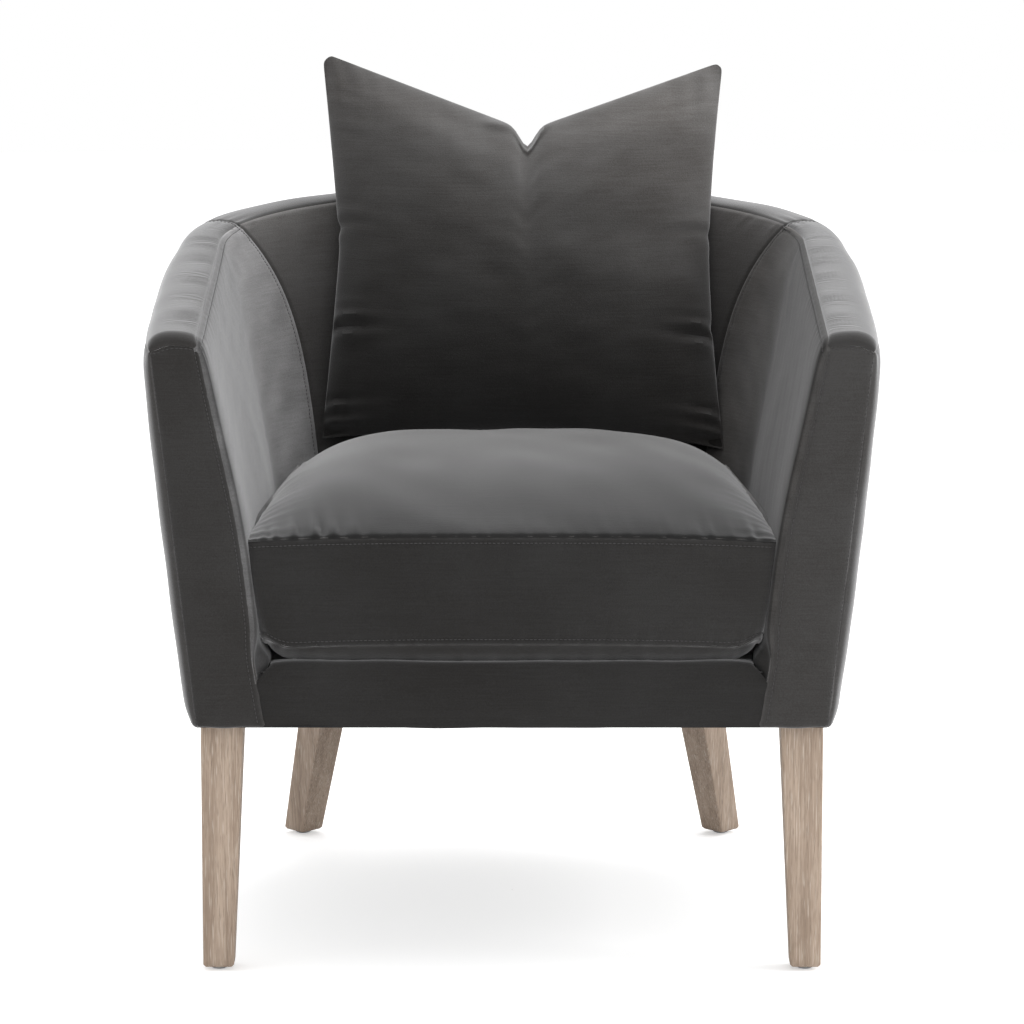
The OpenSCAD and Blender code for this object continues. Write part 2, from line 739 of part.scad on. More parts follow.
module pillow_zip_slider() {
    wall_gap = zip_thickness / 2 + 0.4;
    plate = 1;
    reach = zip_height - 1;
    bottom = pillow_zip_drop - zip_height - seat_fit;
    color(STEEL) at_pillow_foot() translate([pillow_zip_length / 2 - slider_length - 4, 0, 0]) {
        for (s = [0, 1]) mirror([0, s, 0])
            translate([0, wall_gap, bottom - 0.4]) cube([slider_length, plate, reach]);
        translate([0, -wall_gap - plate, bottom - 0.4 - plate])
            cube([slider_length, 2 * (wall_gap + plate), plate]);
    }
}

// ---------------------------------------------------------------- legs and hardware

// Tapered square leg from its top at the underside to its foot above the glide, each face given by
// its centre and turn
module tapered_leg(top_at, foot_at, turn) {
    function ring(at, size, z) = [for (k = [0:3]) let (a = turn + 45 + 90 * k)
        [at[0] + size / sqrt(2) * cos(a), at[1] + size / sqrt(2) * sin(a), z]];
    color(OAK) difference() {
        polyhedron(
            points = concat(ring(foot_at, leg_foot, glide_height), ring(top_at, leg_top, base_height)),
            faces = [[0, 1, 2, 3], [7, 6, 5, 4], [4, 5, 1, 0], [5, 6, 2, 1], [6, 7, 3, 2], [7, 4, 0, 3]]
        );
        translate([top_at[0], top_at[1], base_height - bolt_depth])
            cylinder(d = bolt_diameter, h = bolt_depth + 1);
        translate([foot_at[0], foot_at[1], glide_height - 1])
            cylinder(r = nail_radius, h = nail_length + 1);
    }
}

nail_radius = 1.5;
nail_length = 15;
front_foot = [front_leg_reach - leg_foot / 2, front_leg_setback + leg_foot / 2];
splay_way = [cos(rear_leg_angle), sin(rear_leg_angle)];
rear_foot = rear_bolt + rear_splay * splay_way;

module front_leg() {
    tapered_leg(front_bolt, front_foot, 0);
}

module rear_leg() {
    tapered_leg(rear_bolt, rear_foot, 45);
}

// One copy at each of four points given for the right side
module four(front, rear) {
    for (s = [-1, 1], at = [front, rear]) translate([s * at[0], at[1], 0]) children();
}

module leg_bolts() {
    bottom = base_height - bolt_depth;
    color(STEEL) four(front_bolt, rear_bolt) translate([0, 0, bottom])
        cylinder(d = bolt_diameter, h = rail_top + flange_thickness - bottom);
}

module tee_nuts() {
    color(STEEL) four(front_bolt, rear_bolt) difference() {
        union() {
            translate([0, 0, rail_top - nut_length]) cylinder(r = nut_radius, h = nut_length);
            translate([0, 0, rail_top]) cylinder(r = flange_radius, h = flange_thickness);
        }
        translate([0, 0, rail_top - nut_length - 1])
            cylinder(d = bolt_diameter, h = nut_length + flange_thickness + 2);
    }
}

// Nylon dome with a flat on the floor and a nail into the foot
module glides() {
    radius = glide_diameter / 2;
    flat = radius * 0.5;
    color(NYLON) four(front_foot, rear_foot) {
        rotate_extrude() polygon(concat(
            [[0, 0], [flat, 0]],
            [for (a = [15:15:75]) [flat + (radius - flat) * sin(a), (glide_height - 1) * (1 - cos(a))]],
            [[radius, glide_height - 1], [radius, glide_height], [0, glide_height]]
        ));
        translate([0, 0, glide_height]) cylinder(r = nail_radius, h = nail_length);
    }
}

// ---------------------------------------------------------------- placing

// Deepest point of the back, which sets the middle of the chair
overall_depth = max([for (s = OUTSIDE_SHARES) let (u = at_angle(90))
    wall(u, mix(base_height, seam_z(u) - pad_level, s), OUTER, -puff(s * 0.97))[1]]);

module centred() {
    translate([0, -overall_depth / 2, 0]) children();
}

// The pieces of the arms are drawn for the right arm, and mirrored for the left one.
module right() {
    centred() children();
}

module left() {
    centred() mirror([1, 0, 0]) children();
}

arm_at = function (v) arm_stations(cover_front, v);
back_at = function (v) back_stations(v);
arm_line = arm_stations(cover_front, 1);
back_line = back_stations(1);

centred() front_rail();
left() seat_rail();  // left_seat_rail
right() seat_rail();  // right_seat_rail
centred() back_seat_rail();
left() arm_top_rail();  // left_top_rail
right() arm_top_rail();  // right_top_rail
centred() back_top_rail();
left() front_post();  // left_front_post
right() front_post();  // right_front_post
left() rear_post();  // left_rear_post
right() rear_post();  // right_rear_post
centred() back_stile();
left() front_leg_block();  // left_front_leg_block
right() front_leg_block();  // right_front_leg_block
left() rear_leg_block();  // left_rear_leg_block
right() rear_leg_block();  // right_rear_leg_block
centred() long_webbing();
centred() cross_webbing();
centred() deck_pad();
centred() deck_cover();
centred() dust_cover();
centred() front_rail_cover();
left() inside_pad(arm_at);  // left_inside_pad
right() inside_pad(arm_at);  // right_inside_pad
centred() inside_pad(back_at);  // back_inside_pad
left() outside_pad(arm_line);  // left_outside_pad
right() outside_pad(arm_line);  // right_outside_pad
centred() outside_pad(back_line);  // back_outside_pad
left() top_pad(arm_line);  // left_top_pad
right() top_pad(arm_line);  // right_top_pad
centred() top_pad(back_line);  // back_top_pad
left() inside_cover(arm_at);  // left_inside_cover
right() inside_cover(arm_at);  // right_inside_cover
centred() inside_cover(back_at);  // back_inside_cover
left() outside_cover(arm_line);  // left_outside_cover
right() outside_cover(arm_line);  // right_outside_cover
centred() outside_cover(back_line);  // back_outside_cover
left() top_band(arm_line);  // left_top_band
right() top_band(arm_line);  // right_top_band
centred() top_band(back_line);  // back_top_band
left() arm_front();  // left_arm_front
right() arm_front();  // right_arm_front
centred() cushion_top_panel();
centred() cushion_bottom_panel();
centred() cushion_boxing();
centred() cushion_core();
centred() cushion_zip();
centred() cushion_zip_slider();
centred() pillow_panel(1);  // pillow_front_panel
centred() pillow_panel(-1);  // pillow_back_panel
centred() pillow_insert();
centred() pillow_zip();
centred() pillow_zip_slider();
left() front_leg();  // left_front_leg
right() front_leg();  // right_front_leg
left() rear_leg();  // left_rear_leg
right() rear_leg();  // right_rear_leg
centred() leg_bolts();
centred() tee_nuts();
centred() glides();
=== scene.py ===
import logging
import math
from dataclasses import dataclass, field, replace
from enum import Enum
from typing import Callable, Optional

import bpy
import numpy as np
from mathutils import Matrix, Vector


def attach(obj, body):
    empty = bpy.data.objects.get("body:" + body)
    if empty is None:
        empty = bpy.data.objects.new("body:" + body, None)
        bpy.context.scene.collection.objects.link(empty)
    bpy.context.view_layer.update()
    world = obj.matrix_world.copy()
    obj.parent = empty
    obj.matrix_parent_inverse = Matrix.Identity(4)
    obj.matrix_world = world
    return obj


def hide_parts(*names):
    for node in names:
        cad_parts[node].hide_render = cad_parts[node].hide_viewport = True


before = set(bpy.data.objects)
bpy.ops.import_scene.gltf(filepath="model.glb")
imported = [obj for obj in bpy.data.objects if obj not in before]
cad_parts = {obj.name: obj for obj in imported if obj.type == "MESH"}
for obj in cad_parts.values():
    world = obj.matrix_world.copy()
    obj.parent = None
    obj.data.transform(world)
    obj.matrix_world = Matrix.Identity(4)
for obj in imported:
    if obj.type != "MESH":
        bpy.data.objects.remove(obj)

logging.basicConfig(level=logging.INFO, format="%(message)s")
log = logging.getLogger("armchair")

Array = np.ndarray


class Face(Enum):
    """The two faces of the padded wall. The value is the sign of an inset into the wall, along its plan."""

    INNER = 1
    OUTER = -1


class Side(Enum):
    """The two sides of the chair. The value is the sign of X, which runs to the right."""

    LEFT = -1
    RIGHT = 1


class Body(Enum):
    """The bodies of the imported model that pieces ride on."""

    TUB = "tub"
    CUSHION = "cushion"
    PILLOW = "pillow"


class Slot(Enum):
    """The finish slots of the record, velvet and oak; no piece here is given one."""

    VELVET = "velvet"
    OAK = "oak"


# ---------------------------------------------------------------- arithmetic on whole arrays


def mix(a: Array, b: Array, t: Array) -> Array:
    """Straight blend: a at t = 0 and b at t = 1."""
    return a + (b - a) * t


def ease(x: Array) -> Array:
    """Smooth step: 3x squared less 2x cubed, with x held between 0 and 1."""
    x = np.clip(x, 0.0, 1.0)
    return x * x * (3.0 - 2.0 * x)


def bell(x: Array, width: float) -> Array:
    """Bell curve: e to the power of minus (x / width) squared."""
    return np.exp(-((x / width) ** 2))


def spread(length: float, fine: float, coarse: float, zone: float) -> Array:
    """Shares from 0 to 1 along a length, set closer near both ends.

    The step grows from fine at the ends to coarse in the middle, by a smooth step over zone. The
    shares are the running sum of the inverse of that step, divided by its last value.

    Args:
        length: Length of the line.
        fine: Step at the two ends.
        coarse: Step in the middle.
        zone: Distance from an end over which the step grows.

    Returns:
        Rising shares, the first 0 and the last 1.
    """
    s = np.linspace(0.0, length, 2001)
    near = np.minimum(s, length - s)
    density = 1.0 / mix(fine, coarse, ease(near / zone))
    total = np.concatenate([[0.0], np.cumsum((density[1:] + density[:-1]) / 2 * np.diff(s))])
    count = max(4, int(math.ceil(total[-1])))
    return np.interp(np.linspace(0.0, total[-1], count + 1), total, s) / length


def run_length(points: Array, axis: int) -> Array:
    """Distance walked along one axis of a grid of points: the running sum of its steps."""
    steps = np.linalg.norm(np.diff(points, axis=axis), axis=-1)
    pad = [(0, 0)] * steps.ndim
    pad[axis] = (1, 0)
    return np.pad(np.cumsum(steps, axis=axis), pad)


def edge_distances(points: Array, axis: int) -> tuple[Array, Array]:
    """Distance of each grid point from the first and from the last row along an axis.

    Args:
        points: Grid of points, rows by columns by 3.
        axis: 0 or 1.

    Returns:
        The distance from the first row and the distance from the last row.
    """
    walked = run_length(points, axis)
    return walked, np.take(walked, [-1], axis=axis) - walked


def grid_normals(points: Array, loop: bool = False) -> Array:
    """Unit normals of a grid: the cross product of its two slopes.

    Args:
        points: Grid of points, rows by columns by 3.
        loop: Whether the last row joins the first.

    Returns:
        Unit vectors, of the grid's shape.
    """
    if loop:
        down = np.roll(points, -1, 0) - np.roll(points, 1, 0)
    else:
        down = np.gradient(points, axis=0)
    along = np.gradient(points, axis=1)
    normal = np.cross(down, along)
    return normal / np.maximum(np.linalg.norm(normal, axis=-1, keepdims=True), 1e-12)


@dataclass(frozen=True)
class Waves:
    """A steady sum of sine waves with drawn wavelengths, directions and phases."""

    shortest: float
    longest: float
    count: int
    seed: int

    def _draw(self) -> tuple[Array, Array, Array]:
        """Wave numbers by an even spread of logarithms, with drawn headings and phases."""
        rng = np.random.default_rng(self.seed)
        length = np.exp(rng.uniform(math.log(self.shortest), math.log(self.longest), self.count))
        return 2 * math.pi / length, rng.uniform(0, 2 * math.pi, self.count), rng.uniform(0, 2 * math.pi,
            self.count)

    def along(self, s: Array) -> Array:
        """Height at distance s: the mean of the sines, scaled to a spread of about 1."""
        number, _, phase = self._draw()
        total = sum(np.sin(number[i] * s + phase[i]) for i in range(self.count))
        return total / math.sqrt(self.count / 2)

    def over(self, x: Array, y: Array, stretch: float = 1.0) -> Array:
        """Height over a plane: sines of x cos a + y sin a, with y divided by stretch."""
        number, heading, phase = self._draw()
        total = sum(
            np.sin(number[i] * (x * math.cos(heading[i]) + y / stretch * math.sin(heading[i])) + phase[i])
            for i in range(self.count)
        )
        return total / math.sqrt(self.count / 2)


# ---------------------------------------------------------------- meshes from grids


def grid_quads(rows: int, cols: int, start: int, loop: bool, turned: bool) -> Array:
    """Corner numbers of the quads between neighbouring rows and columns of one grid.

    Args:
        rows: Number of rows.
        cols: Number of columns.
        start: Number of the grid's first vertex.
        loop: Whether the last row joins the first.
        turned: Whether the quads face the other way.

    Returns:
        Array of quads by 4.
    """
    i = np.arange(rows if loop else rows - 1)[:, None]
    j = np.arange(cols - 1)[None, :]
    k = (i + 1) % rows
    quads = np.stack([i * cols + j, i * cols + j + 1, k * cols + j + 1, k * cols + j], -1).reshape(-1, 4)
    return start + (quads[:, ::-1] if turned else quads)


def signed_volume(points: Array, quads: Array) -> float:
    """Sixth of the sum of a . (b x c) over the two triangles of each quad."""
    a, b, c, d = (points[quads[:, k]] for k in range(4))
    return float((np.einsum("ij,ij->i", a, np.cross(b, c))
        + np.einsum("ij,ij->i", a, np.cross(c, d))).sum() / 6)


def make_mesh(name: str, points: Array, faces: Array, sizes: Array,
    smooth_angle: float = 40.0) -> bpy.types.Object:
    """Puts whole arrays of points and faces into a new object that stands at the origin.

    Args:
        name: Name of the piece.
        points: Vertices by 3, in metres.
        faces: Corner numbers of all faces, one after another.
        sizes: Number of corners of each face.
        smooth_angle: Angle in degrees above which an edge stays sharp.

    Returns:
        The new object.
    """
    mesh = bpy.data.meshes.new(name)
    mesh.vertices.add(len(points))
    mesh.vertices.foreach_set("co", np.ascontiguousarray(points, np.float32).ravel())
    mesh.loops.add(len(faces))
    mesh.loops.foreach_set("vertex_index", np.ascontiguousarray(faces, np.int32))
    mesh.polygons.add(len(sizes))
    mesh.polygons.foreach_set("loop_start", np.concatenate([[0], np.cumsum(sizes)[:-1]]).astype(np.int32))
    mesh.polygons.foreach_set("loop_total", sizes.astype(np.int32))
    mesh.update(calc_edges=True)
    mesh.validate()
    mesh.polygons.foreach_set("use_smooth", np.ones(len(sizes), bool))
    mesh.set_sharp_from_angle(angle=math.radians(smooth_angle))
    piece = bpy.data.objects.new(name, mesh)
    bpy.context.scene.collection.objects.link(piece)
    return piece


def shell(name: str, face: Array, back: Array, loop: bool = False,
    painted_light_and_nap: Optional[Array] = None) -> bpy.types.Object:
    """Closed sheet between two grids of equal shape: both grids, and the strips that join their rims.

    The faces are turned so that the volume enclosed is positive.

    Args:
        name: Name of the piece.
        face: Outer grid, rows by columns by 3.
        back: Inner grid, of the same shape.
        loop: Whether the last row joins the first.
        painted_light_and_nap: Painted light and shade at each point of the outer grid, a factor on the base
            colour, with brushed pile tone where the piece adds it; 1 where left out.

    Returns:
        The new object.
    """
    rows, cols = face.shape[:2]
    size = rows * cols
    points = np.concatenate([face.reshape(-1, 3), back.reshape(-1, 3)])
    parts = [grid_quads(rows, cols, 0, loop, False), grid_quads(rows, cols, size, loop, True)]
    i = np.arange(rows if loop else rows - 1)
    k = (i + 1) % rows
    last = cols - 1
    parts.append(np.stack([i * cols, k * cols, size + k * cols, size + i * cols], -1))
    parts.append(np.stack([k * cols + last, i * cols + last, size + i * cols + last,
        size + k * cols + last], -1))
    if not loop:
        j = np.arange(cols - 1)
        end = (rows - 1) * cols
        parts.append(np.stack([j + 1, j, size + j, size + j + 1], -1))
        parts.append(np.stack([end + j, end + j + 1, size + end + j + 1, size + end + j], -1))
    quads = np.concatenate(parts)
    if signed_volume(points, quads) < 0:
        quads = quads[:, ::-1]
    piece = make_mesh(name, points, quads.ravel(), np.full(len(quads), 4))
    # the stored value is painted light and shade that scales the velvet's base colour
    tone = np.ones((rows, cols)) if painted_light_and_nap is None else np.broadcast_to(painted_light_and_nap, (rows, cols))
    layer = piece.data.attributes.new("painted_light_and_nap", "FLOAT", "POINT")
    layer.data.foreach_set("value", np.concatenate([tone.ravel(), tone.ravel()]).astype(np.float32))
    return piece


def tube(name: str, rings: Array) -> bpy.types.Object:
    """Closed solid through rings of equal size, with a flat cap on the first and on the last.

    Args:
        name: Name of the piece.
        rings: Levels by points round by 3.

    Returns:
        The new object.
    """
    levels, around = rings.shape[:2]
    quads = grid_quads(around, levels, 0, True, False)
    points = np.swapaxes(rings, 0, 1).reshape(-1, 3)
    low = np.arange(around) * levels
    high = low + levels - 1
    faces = [quads.ravel(), low[::-1], high]
    probe = np.concatenate([quads,
        np.stack([np.full(around - 2, low[0]), low[2:], low[1:-1], low[1:-1]], -1)])
    probe = np.concatenate([probe,
        np.stack([np.full(around - 2, high[0]), high[1:-1], high[2:], high[2:]], -1)])
    if signed_volume(points, probe) < 0:
        faces = [quads[:, ::-1].ravel(), low, high[::-1]]
    sizes = np.concatenate([np.full(len(quads), 4), [around, around]])
    return make_mesh(name, points, np.concatenate(faces), sizes)


# ---------------------------------------------------------------- finishes


@dataclass(frozen=True)
class Nodes:
    """A node tree being filled in, with short ways to add and join nodes."""

    tree: bpy.types.NodeTree

    def add(self, kind: str, **settings: object) -> bpy.types.Node:
        """Adds a node, with its settings given by attribute name."""
        node = self.tree.nodes.new(kind)
        for key, value in settings.items():
            setattr(node, key, value)
        return node

    def join(self, source: object, target: object) -> None:
        """Links an output socket to an input socket."""
        self.tree.links.new(source, target)

    def noise(self, vector: object, scale: float, detail: float = 3.0, roughness: float = 0.5) -> object:
        """Noise at a scale per metre, as the factor from 0 to 1 about a mean of a half."""
        node = self.add("ShaderNodeTexNoise")
        node.inputs["Scale"].default_value = scale
        node.inputs["Detail"].default_value = detail
        node.inputs["Roughness"].default_value = roughness
        self.join(vector, node.inputs["Vector"])
        return node.outputs["Fac"]

    def stretch(self, vector: object, scale: tuple[float, float, float],
        turn: tuple[float, float, float] = (0, 0, 0)) -> object:
        """Turns a vector by angles in radians and multiplies its parts by a scale."""
        node = self.add("ShaderNodeMapping")
        node.inputs["Rotation"].default_value = turn
        node.inputs["Scale"].default_value = scale
        self.join(vector, node.inputs["Vector"])
        return node.outputs["Vector"]

    def reach(self, value: object, low: float, high: float, to_low: float, to_high: float) -> object:
        """Carries a value from one range to another, held at its ends."""
        node = self.add("ShaderNodeMapRange")
        for key, number in (("From Min", low), ("From Max", high), ("To Min", to_low), ("To Max", to_high)):
            node.inputs[key].default_value = number
        self.join(value, node.inputs["Value"])
        return node.outputs["Result"]

    def combine(self, operation: str, a: object, b: object) -> object:
        """Arithmetic on two sockets, or on a socket and a number."""
        node = self.add("ShaderNodeMath", operation=operation)
        for i, part in enumerate((a, b)):
            if isinstance(part, (int, float)):
                node.inputs[i].default_value = part
            else:
                self.join(part, node.inputs[i])
        return node.outputs["Value"]

    def blend(self, factor: object, a: object, b: object, blend_type: str = "MIX") -> object:
        """Mixes two colours by a factor, each a socket or a colour."""
        node = self.add("ShaderNodeMix", data_type="RGBA", blend_type=blend_type)
        for key, part in ((0, factor), (6, a), (7, b)):
            if isinstance(part, (int, float)):
                node.inputs[key].default_value = part
            elif isinstance(part, tuple):
                node.inputs[key].default_value = (*part, 1.0)
            else:
                self.join(part, node.inputs[key])
        return node.outputs[2]

    def bump(self, height: object, strength: float, distance: float, normal: object = None) -> object:
        """Bump from a height, of a strength and a depth in metres, over an earlier normal."""
        node = self.add("ShaderNodeBump")
        node.inputs["Strength"].default_value = strength
        node.inputs["Distance"].default_value = distance
        self.join(height, node.inputs["Height"])
        if normal is not None:
            self.join(normal, node.inputs["Normal"])
        return node.outputs["Normal"]


def start_material(name: str, **settings: object) -> tuple[bpy.types.Material, Nodes, bpy.types.Node,
    object]:
    """Makes a material with one principled shader and the object's own coordinates.

    Args:
        name: Name of the material.
        **settings: Values set on the shader's own sockets, by name with underscores for spaces.

    Returns:
        The material, its nodes, the shader and the coordinate socket.
    """
    material = bpy.data.materials.new(name)
    material.use_nodes = True
    tree = material.node_tree
    tree.nodes.clear()
    nodes = Nodes(tree)
    shader = nodes.add("ShaderNodeBsdfPrincipled")
    output = nodes.add("ShaderNodeOutputMaterial")
    nodes.join(shader.outputs["BSDF"], output.inputs["Surface"])
    for key, value in settings.items():
        shader.inputs[key.replace("_", " ")].default_value = value
    place = nodes.add("ShaderNodeTexCoord").outputs["Object"]
    return material, nodes, shader, place


@dataclass(frozen=True)
class Velvet:
    """Matte cotton velvet: a dark pile that lightens towards its edges by its sheen, with faint weft lines
    and pile marks; its base colour also takes painted light and shade from the lift and from a value stored
    at each point of a piece."""

    name: str
    dark: tuple[float, float, float] = (0.0150, 0.0137, 0.0128)
    light: tuple[float, float, float] = (0.0255, 0.0247, 0.0242)
    sheen: float = 0.85
    sheen_roughness: float = 0.46
    sheen_tint: tuple[float, float, float] = (0.87, 0.87, 0.88)
    line_scale: tuple[float, float, float] = (26.0, 26.0, 620.0)
    line_turn: tuple[float, float, float] = (0.0, 0.0, 0.0)
    mark_scale: tuple[float, float, float] = (7.0, 7.0, 7.0)
    mark_turn: tuple[float, float, float] = (0.0, 0.0, 0.0)
    # lift: a factor on the colour that paints the panel lighter or darker, as it is lit
    lift: float = 1.0

    def build(self) -> bpy.types.Material:
        """Pile colour from pile marks and weft lines, and a bump from the pile and the lines.

        The colour goes from dark to light by 0.45 of pile marks, 0.2 of lines and 0.35 of pile, times the
        lift and the value stored at each point of the piece, both of which are painted light and shade.
        """
        material, nodes, shader, place = start_material(
            self.name,
            Roughness=0.88,
            Sheen_Weight=self.sheen,
            Sheen_Roughness=self.sheen_roughness,
            Sheen_Tint=(*self.sheen_tint, 1.0),
            Specular_IOR_Level=0.12,
        )
        marks = nodes.noise(nodes.stretch(place, self.mark_scale, self.mark_turn), 1.0, 4.0, 0.55)
        lines = nodes.noise(nodes.stretch(place, self.line_scale, self.line_turn), 1.0, 2.0, 0.6)
        pile = nodes.noise(place, 760.0, 2.0, 0.6)
        tone = nodes.combine("ADD", nodes.combine("MULTIPLY", marks, 0.45),
            nodes.combine("MULTIPLY", lines, 0.2))
        tone = nodes.combine("ADD", tone, nodes.combine("MULTIPLY", pile, 0.35))
        factor = nodes.reach(tone, 0.38, 0.62, 0.0, 1.0)
        # painted light and shade: the lift and a value stored at each point of the piece scale the base
        # colour
        painted_light_and_nap = nodes.add("ShaderNodeAttribute")
        painted_light_and_nap.attribute_name = "painted_light_and_nap"
        colour = nodes.add("ShaderNodeVectorMath", operation="SCALE")
        dark, light = (tuple(self.lift * c for c in tone) for tone in (self.dark, self.light))
        nodes.join(nodes.blend(factor, dark, light), colour.inputs[0])
        nodes.join(painted_light_and_nap.outputs["Fac"], colour.inputs["Scale"])
        nodes.join(colour.outputs["Vector"], shader.inputs["Base Color"])
        normal = nodes.bump(pile, 0.35, 0.0006)
        normal = nodes.bump(lines, 0.2, 0.0004, normal)
        nodes.join(normal, shader.inputs["Normal"])
        return material


@dataclass(frozen=True)
class LimedOak:
    """Pale oak rubbed with grey lime: straight grain along Z, dark pores and light flecks."""

    name: str
    pale: tuple[float, float, float] = (0.485, 0.380, 0.298)
    deep: tuple[float, float, float] = (0.298, 0.220, 0.164)
    pore: tuple[float, float, float] = (0.190, 0.140, 0.105)
    lime: tuple[float, float, float] = (0.640, 0.560, 0.480)
    # lift: a factor on the whole colour, which the legs use to paint light and shade
    lift: float = 1.0

    def build(self) -> bpy.types.Material:
        """Colour by growth bands, fine streaks, pores and lime, each a noise stretched along the grain."""
        material, nodes, shader, place = start_material(self.name, Roughness=0.62, Specular_IOR_Level=0.32)
        bands = nodes.noise(nodes.stretch(place, (95.0, 95.0, 5.0)), 1.0, 4.0, 0.6)
        streaks = nodes.noise(nodes.stretch(place, (620.0, 620.0, 14.0)), 1.0, 3.0, 0.65)
        pores = nodes.noise(nodes.stretch(place, (1500.0, 1500.0, 60.0)), 1.0, 2.0, 0.5)
        flecks = nodes.noise(nodes.stretch(place, (900.0, 900.0, 38.0)), 1.0, 2.0, 0.5)
        tone = nodes.combine("ADD", nodes.combine("MULTIPLY", bands, 0.5),
            nodes.combine("MULTIPLY", streaks, 0.5))
        colour = nodes.blend(nodes.reach(tone, 0.38, 0.62, 0.0, 1.0), self.deep, self.pale)
        colour = nodes.blend(nodes.reach(pores, 0.56, 0.68, 0.0, 0.65), colour, self.pore)
        colour = nodes.blend(nodes.reach(flecks, 0.57, 0.7, 0.0, 0.6), colour, self.lime)
        shade = nodes.add("ShaderNodeVectorMath", operation="SCALE")
        shade.inputs["Scale"].default_value = self.lift
        nodes.join(colour, shade.inputs[0])
        nodes.join(shade.outputs["Vector"], shader.inputs["Base Color"])
        normal = nodes.bump(streaks, 0.25, 0.0006)
        nodes.join(nodes.bump(pores, 0.3, 0.0004, normal), shader.inputs["Normal"])
        return material


@dataclass(frozen=True)
class Plain:
    """A simple finish of two tones that a noise mixes, with a bump of the same noise."""

    name: str
    dark: tuple[float, float, float]
    light: tuple[float, float, float]
    roughness: float
    scale: tuple[float, float, float] = (220.0, 220.0, 220.0)
    metallic: float = 0.0
    depth: float = 0.0003
    see_through: float = 0.0

    def build(self) -> bpy.types.Material:
        """Colour and bump from one noise, stretched by the scale."""
        material, nodes, shader, place = start_material(
            self.name, Roughness=self.roughness, Metallic=self.metallic,
                Transmission_Weight=self.see_through
        )
        grain = nodes.noise(nodes.stretch(place, self.scale), 1.0, 3.0, 0.6)
        factor = nodes.reach(grain, 0.35, 0.65, 0.0, 1.0)
        nodes.join(nodes.blend(factor, self.dark, self.light), shader.inputs["Base Color"])
        nodes.join(nodes.bump(grain, 0.4, self.depth), shader.inputs["Normal"])
        return material


# ---------------------------------------------------------------- form of the tub


